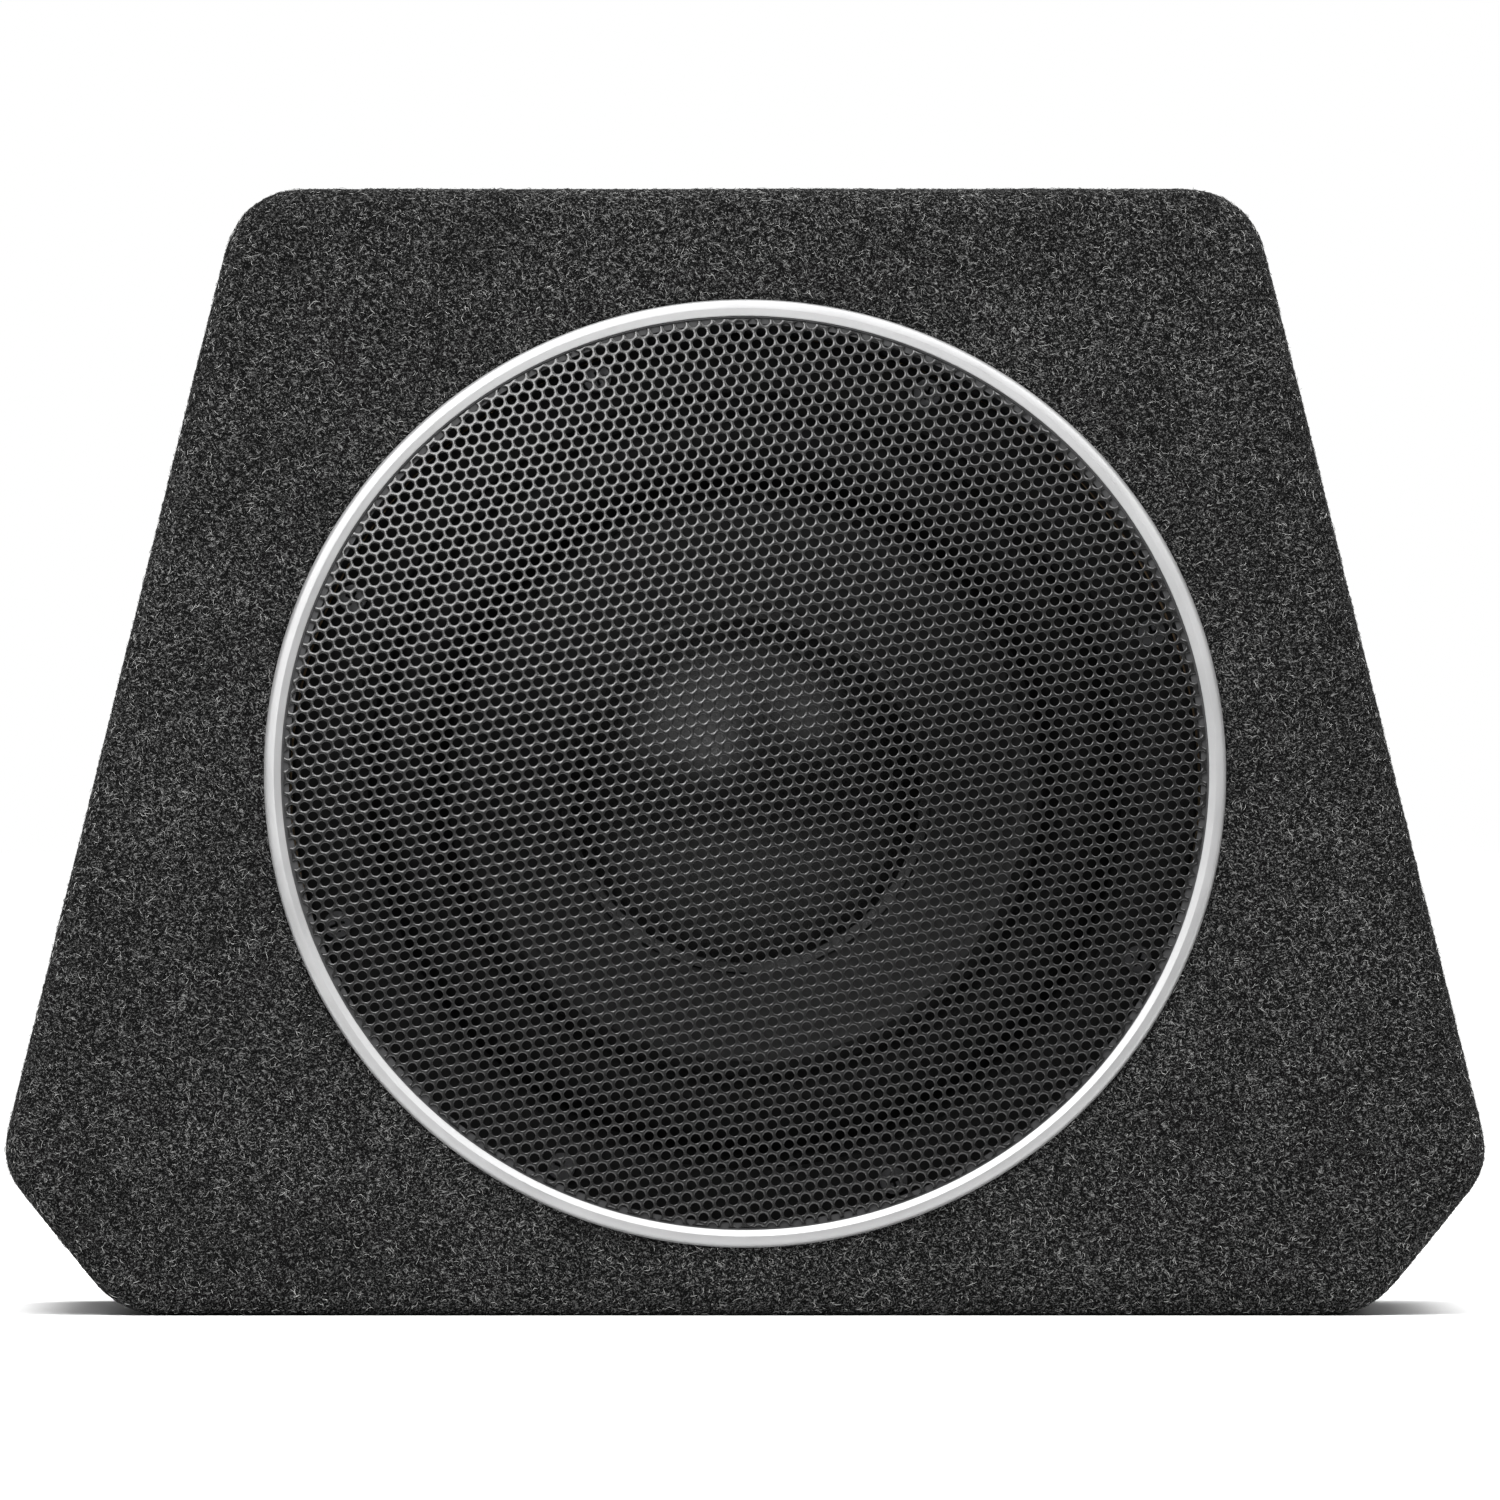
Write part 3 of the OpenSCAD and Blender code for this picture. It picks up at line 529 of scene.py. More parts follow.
LOOKS = {
    "wood_board": board_wood("fibreboard"),
    "carpet": felt(),
    "black_sheet": coated(
        "black_powder_coat", (0.003, 0.003, 0.003), 0.24, grain=2600, depth=0.008, spread=0.04, gloss=0.7
    ),
    "satin_trim": silver_lacquer("satin_silver", (0.35, 0.35, 0.352), 0.42, 0.5),
    "black_plastic": coated("black_plastic", (0.018, 0.018, 0.019), 0.5, grain=2200),
    "foam_rubber": coated(
        "foam_rubber", (0.006, 0.006, 0.006), 0.9, grain=1300, depth=0.15, spread=0.05, gloss=0.15
    ),
    "roll_rubber": coated("roll_rubber", (0.003, 0.003, 0.003), 0.5, depth=0.03, gloss=0.07),
    "cone_pulp": coated("cone_pulp", (0.0022, 0.0022, 0.0023), 0.42, grain=1100, depth=0.05, gloss=0.2),
    "former": coated("former_film", (0.55, 0.33, 0.12), 0.4, grain=600, depth=0.01),
    "copper": wound_copper("copper_wire"),
    "spider_cloth": woven("spider_cloth", (0.60, 0.47, 0.22)),
    "motor_steel": coated("motor_steel", (0.48, 0.48, 0.46), 0.38, metallic=1.0, grain=1200),
    "ferrite": coated("ferrite", (0.035, 0.035, 0.038), 0.55, grain=1500, depth=0.04),
    "fibre_board": coated("fibre_board", (0.09, 0.05, 0.03), 0.6, depth=0.03),
    "black_screw": coated("black_screw", (0.05, 0.05, 0.052), 0.35, metallic=0.6, grain=1500, depth=0.01),
    "red_insulation": coated("red_insulation", (0.42, 0.02, 0.02), 0.42, depth=0.01),
    "black_insulation": coated("black_insulation", (0.015, 0.015, 0.015), 0.42, depth=0.01),
    "black_anodised": coated(
        "black_anodised", (0.022, 0.022, 0.024), 0.40, metallic=0.5, grain=1900, depth=0.012
    ),
    "plated_steel": coated("plated_steel", (0.58, 0.58, 0.57), 0.33, metallic=1.0, grain=1200, depth=0.012),
    "board_green": coated("board_green", (0.02, 0.15, 0.06), 0.4, grain=500),
    "capacitor_sleeve": coated("capacitor_sleeve", (0.02, 0.04, 0.14), 0.3, grain=300, depth=0.01),
    "lamp_lens": coated("lamp_lens", (0.04, 0.42, 0.12), 0.15, grain=300, depth=0.004, spread=0.03),
    "fuse_body": coated("fuse_body", (0.72, 0.20, 0.03), 0.22, grain=300, depth=0.004, spread=0.04),
    "jack_plating": coated(
        "jack_plating", (0.74, 0.74, 0.75), 0.2, metallic=1.0, depth=0.006, spread=0.05
    ),
    "white_plastic": coated("white_plastic", (0.74, 0.71, 0.63), 0.45, depth=0.012),
    "gold_pins": coated("gold_pins", (0.83, 0.58, 0.19), 0.25, metallic=1.0, depth=0.004),
}
PLATE_LOOK = coated("amp_plate_coat", (0.012, 0.012, 0.0122), 0.45, grain=2600, gloss=0.35)
CAP_LOOK = coated("pressed_cap", (0.0012, 0.0012, 0.0012), 0.3, grain=1100, depth=0.03, gloss=0.26)
SCALE_PAINT = coated("scale_paint", (0.70, 0.70, 0.69), 0.55, grain=1500, depth=0.008)
SLOT_OF = {s["node"]: s["material_slot"] for s in frame["record"]["subparts"]}


def dress(thing, slot_name, look=None):
    """Gives a piece its material slot, with the slot's look unless another is named."""
    thing.data.materials.clear()
    thing.data.materials.append(look or LOOKS[slot_name])
    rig.slot(thing, slot_name)
    return thing


for node, thing in frame["nodes"].items():
    dress(thing, SLOT_OF[node])
dress(frame["nodes"]["amp_plate"], SLOT_OF["amp_plate"], PLATE_LOOK)

# ---------------------------------------------------------------- grille

HOLE_PITCH = 4.377 * MM
HOLE_RADIUS = 1.64 * MM
HOLE_EDGE = 0.27 * MM
HOLE_SIDES = 12
LATTICE_LEAN = math.radians(10.5)
RIM_GAP = 0.4 * MM
SAME_POINT = 0.001 * MM
LEAST_AREA = 0.02 * MM * MM


def hole_lattice(rim):
    """Centres of a hexagonal lattice that covers a disc and one pitch round it."""
    reach = int(1.2 * rim / HOLE_PITCH) + 3
    steps = np.arange(-reach, reach + 1)
    one, two = np.meshgrid(steps, steps)
    row = np.array((math.cos(LATTICE_LEAN), math.sin(LATTICE_LEAN))) * HOLE_PITCH
    next_lean = LATTICE_LEAN + math.pi / 3
    next_row = np.array((math.cos(next_lean), math.sin(next_lean))) * HOLE_PITCH
    centres = one.reshape(-1, 1) * row + two.reshape(-1, 1) * next_row
    return centres[np.linalg.norm(centres, axis=1) < rim + HOLE_PITCH]


def cross(p, q):
    return p[:, 0] * q[:, 1] - p[:, 1] * q[:, 0]


def rim_faces(quads, base, total):
    """Faces that close the sheet's open edges, all of which lie round its rim.

    A strip joins the sheet's two sides, and each cut cell's open side gets a face. The first base
    points are the cells' shared corners on the top, and the next base points those on the back.
    """
    start, end = quads.reshape(-1), np.roll(quads, -1, axis=1).reshape(-1)
    edge_number = np.minimum(start, end).astype(np.int64) * total + np.maximum(start, end)
    _, where, uses = np.unique(edge_number, return_index=True, return_counts=True)
    open_edges = where[uses == 1]
    faces, follows, ends = [], {}, set()
    for p, n in zip(start[open_edges].tolist(), end[open_edges].tolist()):
        if p < base and n < base:
            faces.append((n, p, base + p, base + n))
        elif not (base <= p < 2 * base and base <= n < 2 * base):
            follows.setdefault(p, []).append(n)
            ends.add(n)
    for first_point in [p for p in follows if p not in ends] + list(follows):
        while follows.get(first_point):
            run = [first_point, follows[first_point].pop()]
            while run[-1] != first_point and follows.get(run[-1]):
                run.append(follows[run[-1]].pop())
            faces.append(tuple(reversed(run[:-1] if run[0] == run[-1] else run)))
    return faces


def perforated_sheet():
    """The domed steel sheet: a hexagonal lattice of punched holes, each with a rolled edge."""
    radius, height = around_axis("grille_mesh")
    rim = float(radius.max())
    at_rim = height[radius > rim - 0.1 * MM]
    thick = float(at_rim.max() - at_rim.min())
    rise = float(height.max() - at_rim.max())
    top_rim = float(at_rim.max())
    rim -= RIM_GAP
    centres = hole_lattice(rim)
    corner = np.arange(HOLE_SIDES)
    turns = LATTICE_LEAN + corner * 2 * math.pi / HOLE_SIDES
    spokes = np.stack((np.cos(turns), np.sin(turns)), 1)
    to_border = np.where(corner % 2 == 0, HOLE_PITCH / 2, HOLE_PITCH / math.sqrt(3))
    border = (centres[:, None] + to_border[:, None] * spokes).reshape(-1, 2)
    _, first, same = np.unique(
        np.round(border / SAME_POINT).astype(np.int64), axis=0, return_index=True, return_inverse=True
    )
    shared = border[first]
    same = np.asarray(same).reshape(-1)
    base = len(shared)

    def clamp(points):
        """Moves the points outside the rim onto it."""
        away = np.linalg.norm(points, axis=1)
        return points * np.minimum(1, rim / np.maximum(away, 1e-9))[:, None]

    def ring_of(radius_at):
        return (centres[:, None] + radius_at * spokes).reshape(-1, 2)

    def place(flat, drop):
        """Points on the dome, a drop below its top."""
        top = top_rim + rise * (1 - (np.linalg.norm(flat, axis=1) / rim) ** 2)
        return on_axis(flat[:, 0], flat[:, 1], top - drop)

    # (radius, drop) of each hole's rings, from the top of the sheet to its back
    rolled = np.radians((0, 45, 90))
    levels = [(HOLE_RADIUS + HOLE_EDGE * (1 - math.sin(a)), HOLE_EDGE * (1 - math.cos(a))) for a in rolled]
    levels.append((HOLE_RADIUS, thick))
    flat_shared, flat_hole = clamp(shared), clamp(ring_of(HOLE_RADIUS))
    parts = [place(flat_shared, 0.0), place(flat_shared, thick)]
    parts += [place(clamp(ring_of(at)), drop) for at, drop in levels]
    points = np.concatenate(parts)

    # One sector of a cell runs from a corner to the next. Those outside the rim are left out
    cell = np.arange(len(centres))[:, None] * HOLE_SIDES
    here, ahead = (cell + corner).reshape(-1), (cell + (corner + 1) % HOLE_SIDES).reshape(-1)
    edge_here, edge_ahead = same[here], same[ahead]
    inside_hole = np.linalg.norm(ring_of(HOLE_RADIUS), axis=1) < rim
    inside_edge = np.linalg.norm(shared, axis=1) < rim
    some = inside_hole[here] | inside_hole[ahead] | inside_edge[edge_here] | inside_edge[edge_ahead]
    a, b = flat_shared[edge_here], flat_shared[edge_ahead]
    c, d = flat_hole[ahead], flat_hole[here]
    keep = some & (cross(c - a, d - b) / 2 > LEAST_AREA)
    here, ahead, edge_here, edge_ahead = here[keep], ahead[keep], edge_here[keep], edge_ahead[keep]
    starts = [2 * base + k * len(centres) * HOLE_SIDES for k in range(len(levels))]
    top, back = starts[0], starts[-1]
    quads = [
        np.stack((edge_here, edge_ahead, top + ahead, top + here), 1),
        np.stack((base + edge_ahead, base + edge_here, back + here, back + ahead), 1),
    ]
    for upper, lower in zip(starts[:-1], starts[1:]):
        quads.append(np.stack((upper + here, upper + ahead, lower + ahead, lower + here), 1))
    quads = np.concatenate(quads)
    faces = quads.tolist() + rim_faces(quads, base, len(points))
    used = np.unique(np.concatenate([np.asarray(f) for f in faces]))
    moved = np.full(len(points), -1)
    moved[used] = np.arange(len(used))
    faces = [tuple(int(moved[i]) for i in f) for f in faces]
    return make_object("perforated_grille", points[used], faces, "cabinet", 30)


grille = dress(perforated_sheet(), "black_sheet")
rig.replaces(grille, "grille_mesh")


def trim_ring():
    """A band with a flat slope toward the mesh and a round outer edge."""
    ring_in, ring_out, ring_low, ring_top, _, _ = profile_ends("grille_ring")
    ring_wall = 1.4 * MM
    ring_bevel = 2.0 * MM
    profile = [
        (ring_in, ring_low + 1.25 * MM),
        (ring_in, ring_low + 1.55 * MM),
        (ring_in + 0.15 * MM, ring_low + 1.75 * MM),
        (ring_in + 2.1 * MM, ring_top - 0.15 * MM),
        (ring_in + 2.4 * MM, ring_top),
        (ring_in + 3.0 * MM, ring_top - 0.02 * MM),
    ]
    profile += arc((ring_out - ring_bevel, ring_low + 0.5 * MM), ring_bevel, 80, 5, 9)
    profile += [(ring_out, ring_low), (ring_out - ring_wall, ring_low)]
    profile += [(ring_out - ring_wall, ring_low + 1.25 * MM)]
    ring = dress(spin("trim_ring", profile, "cabinet", 360, 28), "satin_trim")
    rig.replaces(ring, "grille_ring")


trim_ring()

# ---------------------------------------------------------------- woofer


def rolled_surround():
    """A half roll between two flat lips, which bends as the cone moves."""
    lip_in, lip_out, lip_low, crest, radius, height = profile_ends("surround")
    crest_radius = float(radius[height > crest - 0.05 * MM].mean())
    outer_seat = float(height[radius > lip_out - 0.2 * MM].min())
    roll = crest - outer_seat
    roll_wall = 1.0 * MM
    profile = [(lip_in, lip_low), (crest_radius - roll + roll_wall, lip_low)]
    profile += arc((crest_radius, outer_seat), roll - roll_wall, 180, 0, 33)
    profile += [(lip_out, outer_seat), (lip_out, outer_seat + roll_wall)]
    profile += arc((crest_radius, outer_seat), roll, 4.3, 180, 35)
    profile += [(lip_in + 0.4 * MM, outer_seat), (lip_in, outer_seat - 0.3 * MM)]
    surround = spin("rolled_surround", profile, None, 200, 40)
    bend_by_radius(surround, crest_radius - roll, crest_radius + roll)
    dress(surround, "roll_rubber")
    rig.replaces(surround, "surround")


def woofer_cone():
    """A straight cone with a neck and a flat rim."""
    neck, rim, neck_low, rim_top, radius, height = profile_ends("cone")
    flat_in = float(radius[height > rim_top - 0.05 * MM].min())
    neck_top = float(height[radius < neck + 0.2 * MM].max())
    cone_wall = 1.1 * MM
    back_neck, back_top, back_rise = neck + cone_wall, neck_top - cone_wall, rim_top - neck_top - 0.2 * MM
    profile = []
    for t in (k / 24 for k in range(25)):
        profile.append((neck + (flat_in - neck) * t, neck_top + (rim_top - neck_top) * t))
    profile += [(rim, rim_top), (rim, rim_top - cone_wall), (flat_in + 0.4 * MM, rim_top - cone_wall)]
    for t in (1 - k / 8 for k in range(9)):
        profile.append((back_neck + (flat_in - back_neck) * t, back_top + back_rise * t))
    profile += [(back_neck, neck_low), (neck, neck_low)]
    cone = dress(spin("woofer_cone", profile, "moving_cone", 200, 30), "cone_pulp")
    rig.replaces(cone, "cone")


def dust_cap():
    """Part of a hollow ball, with a thin lip that is glued to the cone."""
    _, cap_out, _, cap_top, radius, height = profile_ends("dust_cap")
    cap_edge = cap_out - 3.5 * MM
    cap_seat = float(height[np.abs(radius - cap_edge) < 0.3 * MM].min())
    cap_wall = 1.2 * MM
    cap_height = cap_top - cap_seat - cap_wall
    ball = (cap_edge**2 + cap_height**2) / (2 * cap_height)
    ball_centre = (0, cap_seat + cap_wall + cap_height - ball)
    sweep = math.degrees(math.asin(cap_edge / ball))
    pole = 90 - 0.2
    lip_seat = float(height[radius > cap_out - 0.05 * MM].min())
    profile = arc(ball_centre, ball, pole, 90 - sweep, 40)
    profile += [(cap_out, lip_seat + cap_wall * 0.7), (cap_out, lip_seat), (cap_edge, cap_seat)]
    profile += arc(ball_centre, ball - cap_wall, 90 - sweep, pole, 30)
    cap = dress(spin("woofer_dust_cap", profile, "moving_cone", 160, 30), "cone_pulp", CAP_LOOK)
    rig.replaces(cap, "dust_cap")


def flange_gasket():
    """A flat ring with two round edges, stepped to clear the surround's lip."""
    pad_in, pad_out, pad_low, pad_top, radius, height = profile_ends("front_gasket")
    step_low = float(height[radius < pad_in + 0.2 * MM].min())
    step_out = profile_ends("surround")[1] + 0.2 * MM
    pad_round = 1.2 * MM
    profile = [(pad_in, step_low), (step_out, step_low), (step_out, pad_low), (pad_out, pad_low)]
    profile += arc((pad_out - pad_round, pad_top - pad_round), pad_round, 0, 90, 6)
    profile += arc((pad_in + pad_round, pad_top - pad_round), pad_round, 90, 180, 6)
    gasket = dress(spin("flange_gasket", profile, "cabinet", 240, 40), "foam_rubber")
    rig.replaces(gasket, "front_gasket")


def woofer_spider():
    """The corrugated disc, which bends as the cone moves."""
    spider_in, spider_out = profile_ends("spider")[:2]
    spider = welded_copy("spider", "woofer_spider")
    bend_by_radius(spider, spider_in + 4 * MM, spider_out - 10 * MM)
    dress(spider, "spider_cloth")
    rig.replaces(spider, "spider")


def tinsel_leads():
    """Two flexible wires with some slack, from the terminal board to the cone."""
    away = corners("tinsel_leads") - AXIS_POINT
    tinsel_x, tinsel_up, tinsel_height = away @ X_AXIS, away @ UP, away @ OUT
    wire_r = 0.9 * MM
    tinsel_pieces = []
    for side, name in ((-1, "tinsel_left"), (1, "tinsel_right")):
        mine = tinsel_x * side > 0
        x = float(tinsel_x[mine].mean())
        low, high = float(tinsel_height[mine].min()), float(tinsel_height[mine].max()) - wire_r
        far_up, near_up = float(tinsel_up[mine].min()) + wire_r, float(tinsel_up[mine].max()) - wire_r
        line = [
            (far_up + 0.6 * MM, low),
            (far_up, low + 0.38 * (high - low)),
            (far_up + 0.33 * (near_up - far_up), low + 0.68 * (high - low)),
            (near_up, high),
        ]
        path = smooth_path([on_axis(x, up, n) for up, n in line], 40)
        lead = tube(name, path, wire_r, None, 8)
        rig.blend(lead, "cabinet", "moving_cone", start=path[0], end=path[-1])
        tinsel_pieces.append(dress(lead, "copper"))
    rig.replaces(tinsel_pieces[0], "tinsel_leads")


def speaker_leads():
    """Two insulated wires inside the cabinet, from the woofer to the amplifier's tray."""
    for node, name in (("lead_positive", "speaker_lead_red"), ("lead_negative", "speaker_lead_black")):
        low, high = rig.box(node)
        x, lead_r = (low.x + high.x) / 2, (high.x - low.x) / 2
        bottom, top, deep = low.z + lead_r, high.z - lead_r, high.y - low.y
        route = [
            (x, low.y, bottom),
            (x, low.y + 0.42 * deep, bottom),
            (x, low.y + 0.67 * deep, bottom + 0.35 * (top - bottom)),
            (x, low.y + 0.715 * deep, top - 1 * MM),
            (x, high.y, top),
        ]
        lead = tube(name, smooth_path(route, 80), lead_r, "cabinet", 12)
        dress(lead, SLOT_OF[node])
        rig.replaces(lead, node)


def foam_seal():
    """The amplifier's foam gasket, with its edges rounded."""
    seal = welded_copy("amp_gasket", "amp_foam_seal")
    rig.ride(seal, "cabinet")
    soften = seal.modifiers.new("soft_edges", "BEVEL")
    soften.width = 0.4 * MM
    soften.segments = 2
    dress(seal, "foam_rubber")
    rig.replaces(seal, "amp_gasket")


rolled_surround()
woofer_cone()
dust_cap()
flange_gasket()
woofer_spider()
tinsel_leads()
speaker_leads()
foam_seal()

# ---------------------------------------------------------------- carpet

FELT_T = 2.9 * MM
EDGE_R = 9.0 * MM
FELT_WAVE = 0.16 * MM
# (share, fineness) of each noise that waves the felt
WAVES = ((1.0, 38), (0.6, 110), (0.45, 320))
OUTLINE_COUNT = 520


def hull(points):
    """The convex outline of 2D points, counter-clockwise."""
    points = sorted(set(map(tuple, np.round(points, 6))))

    def half(run):
        kept = []
        for p in run:
            while len(kept) > 1:
                a, b = kept[-2], kept[-1]
                if (b[0] - a[0]) * (p[1] - a[1]) - (b[1] - a[1]) * (p[0] - a[0]) > 1e-12:
                    break
                kept.pop()
            kept.append(p)
        return kept[:-1]

    return np.array(half(points) + half(points[::-1]))


def resample(loop, count):
    """Evenly spaced points along a closed 2D loop."""
    closed = np.vstack((loop, loop[:1]))
    far = np.concatenate(([0], np.cumsum(np.linalg.norm(np.diff(closed, axis=0), axis=1))))
    want = np.linspace(0, far[-1], count, endpoint=False)
    return np.stack([np.interp(want, far, closed[:, k]) for k in range(2)], 1)


def soften_loop(loop, passes):
    for _ in range(passes):
        loop = (np.roll(loop, 1, 0) + 2 * loop + np.roll(loop, -1, 0)) / 4
    return loop


# The cabinet's outline as (x, z), with its directions outward, and the planes that the felt runs between
outline = soften_loop(resample(hull(corners("carpet_wrap")[:, (0, 2)]), 3 * OUTLINE_COUNT), 26)[::3]
along = np.roll(outline, -1, 0) - np.roll(outline, 1, 0)
along /= np.linalg.norm(along, axis=1)[:, None]
outward = np.stack((along[:, 1], -along[:, 0]), 1)
front_heights = corners("carpet_front") @ OUT
face_plane = float(front_heights.max())
fold = face_plane - float(front_heights.min())
back_face = float(corners("carpet_back")[:, 1].max())


def leaning(flat, depth):
    """Points (x, z) put at a depth behind the front face."""
    y = (face_plane - depth - flat[:, 1] * OUT[2]) / OUT[1]
    return np.stack((flat[:, 0], y, flat[:, 1]), 1)


def upright(flat, y):
    return np.stack((flat[:, 0], np.full(len(flat), y), flat[:, 1]), 1)


def hanging(flat, depth):
    """Points (x, z) put at a depth inside the back face."""
    return upright(flat, back_face - depth)


def inset(depth):
    return outline - outward * depth


def edge_rings(place):
    """Rings from the fold's edge, over the round edge, to the start of the flat face.

    place is the function that puts an outline at a depth.
    """
    rings = [
        place(inset(0.9 * MM), fold - 0.05 * MM),
        place(inset(0.25 * MM), fold - 0.7 * MM),
        place(inset(0), fold - 1.8 * MM),
    ]
    for k in range(9):
        a = math.radians(90 * k / 8)
        rings.append(place(inset(EDGE_R * (1 - math.cos(a))), EDGE_R * (1 - math.sin(a))))
    return rings


def inner_edge_rings(place):
    """The rings behind the round edge, from the flat face to the fold's edge."""
    inner_r = EDGE_R - FELT_T
    rings = []
    for k in range(4):
        a = math.radians(90 - 30 * k)
        flat = inset(FELT_T + inner_r * (1 - math.cos(a)))
        rings.append(place(flat, FELT_T + inner_r * (1 - math.sin(a))))
    rings.append(place(inset(FELT_T), fold - 0.3 * MM))
    return rings


def face_rings(place, to_opening, steps):
    """Rings of the front or back felt, from the fold to the opening, and the rings of their back."""
    outer = edge_rings(place)
    face_start, opening = outer[-1], to_opening(0.0)
    for k in range(1, steps + 1):
        t = k / steps
        outer.append(face_start * (1 - t) + opening * t)
    return outer, [to_opening(FELT_T)] + inner_edge_rings(place)


def band_rings(part):
    """Rings from the front fold to the back fold over part of the outline, and the rings of their back."""
    gap = 0.05 * MM

    def ring(depth, share):
        front = leaning(inset(depth)[part], fold + gap)
        back = upright(inset(depth)[part], back_face - fold - gap)
        return front * (1 - share) + back * share

    outer = [ring(0.9 * MM, 0), ring(0.25 * MM, 0.004), ring(0, 0.012)]
    outer += [ring(0, k / 60) for k in range(1, 60)]
    outer += [ring(0, 0.988), ring(0.25 * MM, 0.996), ring(0.9 * MM, 1)]
    return outer, [ring(FELT_T, share) for share in (1, 0.75, 0.5, 0.25, 0)]


def wave(points, normals):
    """Moves points along their normals by a soft noise, so that the felt isn't a machined surface."""
    moved = points.copy()
    for k, p in enumerate(points):
        v = Vector(p)
        lift = sum(share * noise.noise(v * fineness) for share, fineness in WAVES)
        moved[k] += normals[k] * (FELT_WAVE * lift)
    return moved


def ring_normals(rings, wrap_count):
    """Normals of a grid of points."""
    across = np.gradient(rings, axis=0)
    if wrap_count:
        around = np.roll(rings, -1, 1) - np.roll(rings, 1, 1)
    else:
        around = np.gradient(rings, axis=1)
    found = np.cross(across, around)
    size = np.linalg.norm(found, axis=2)[..., None]
    return found / np.maximum(size, 1e-12)


def felt_shell(name, node, outer, inner, wrap_count=True):
    """A closed felt from its outer rings and the rings of its back, in place of a CAD node.

    Returns it with its outer points and their normals. wrap_count says that each ring is a closed loop.
    """
    outer, inner = np.array(outer), np.array(inner)
    normals = ring_normals(outer, wrap_count)
    centre = outer.reshape(-1, 3).mean(0)
    if ((outer - centre) * normals).sum() < 0:
        normals = -normals
    waved = wave(outer.reshape(-1, 3), normals.reshape(-1, 3)).reshape(outer.shape)
    waved[0], waved[-1] = outer[0], outer[-1]
    everything = np.concatenate((waved, inner))
    rings, count = everything.shape[:2]
    faces = grid_faces(rings, count, True, wrap_count)
    if not wrap_count:
        faces.append(tuple(r * count for r in range(rings)))
        faces.append(tuple(r * count + count - 1 for r in reversed(range(rings))))
    thing = make_object(name, everything.reshape(-1, 3), faces, "cabinet", 60)
    face_out(thing)
    dress(thing, "carpet")
    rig.replaces(thing, node)
    return thing, waved, normals


opening_r = profile_ends("grille_ring")[1] - 4.0 * MM
face_height = face_plane - AXIS_POINT @ OUT


def to_circle(depth):
    """The grille's opening, as one point in line with each point of the outline."""
    flat = leaning(inset(EDGE_R), depth) - AXIS_POINT
    turn = np.arctan2(flat @ UP, flat @ X_AXIS)
    height = np.full(len(turn), face_height - depth)
    return on_axis(opening_r * np.cos(turn), opening_r * np.sin(turn), height)


front_felt, front_outer, front_normals = felt_shell(
    "carpet_front_felt", "carpet_front", *face_rings(leaning, to_circle, 42)
)

# The outline in two parts: the walls and top, and the flat part of the floor between them
bottom_low, bottom_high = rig.box("carpet_bottom")
on_floor = (outline[:, 1] < 0.4 * MM) & (np.abs(outline[:, 0]) < bottom_high.x)
first_wall = int(np.argmax(~on_floor & np.roll(on_floor, 1)))
order = np.roll(np.arange(OUTLINE_COUNT), -first_wall)
wall_part = order[~on_floor[order]]
floor_part = np.concatenate(([wall_part[-1]], order[on_floor[order]], [wall_part[0]]))
wrap_felt, wrap_outer, wrap_normals = felt_shell(
    "carpet_wrap_felt", "carpet_wrap", *band_rings(wall_part), False
)
floor_felt, floor_outer, _ = felt_shell("carpet_floor_felt", "carpet_bottom", *band_rings(floor_part), False)

plate_low, plate_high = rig.box("amp_plate")
plate_lap = 5.7 * MM
cut_w = (plate_high.x - plate_low.x) / 2 - plate_lap
cut_h = (plate_high.z - plate_low.z) / 2 - plate_lap
cut_middle = np.array(((plate_low.x + plate_high.x) / 2, (plate_low.z + plate_high.z) / 2))


def to_cut(depth):
    """The amplifier's opening, as one point in line with each point of the outline."""
    away = inset(EDGE_R) - cut_middle
    reach = np.maximum(np.abs(away[:, 0]) / cut_w, np.abs(away[:, 1]) / cut_h)
    return hanging(cut_middle + away / reach[:, None], depth)


back_felt, back_outer, back_normals = felt_shell(
    "carpet_back_felt", "carpet_back", *face_rings(hanging, to_cut, 32)
)

# ---------------------------------------------------------------- loose fibres on the carpet

FIBRE_LENGTH = 1.6 * MM
FIBRE_RADIUS = 0.088 * MM
FIBRE_SUNK = 0.04 * MM


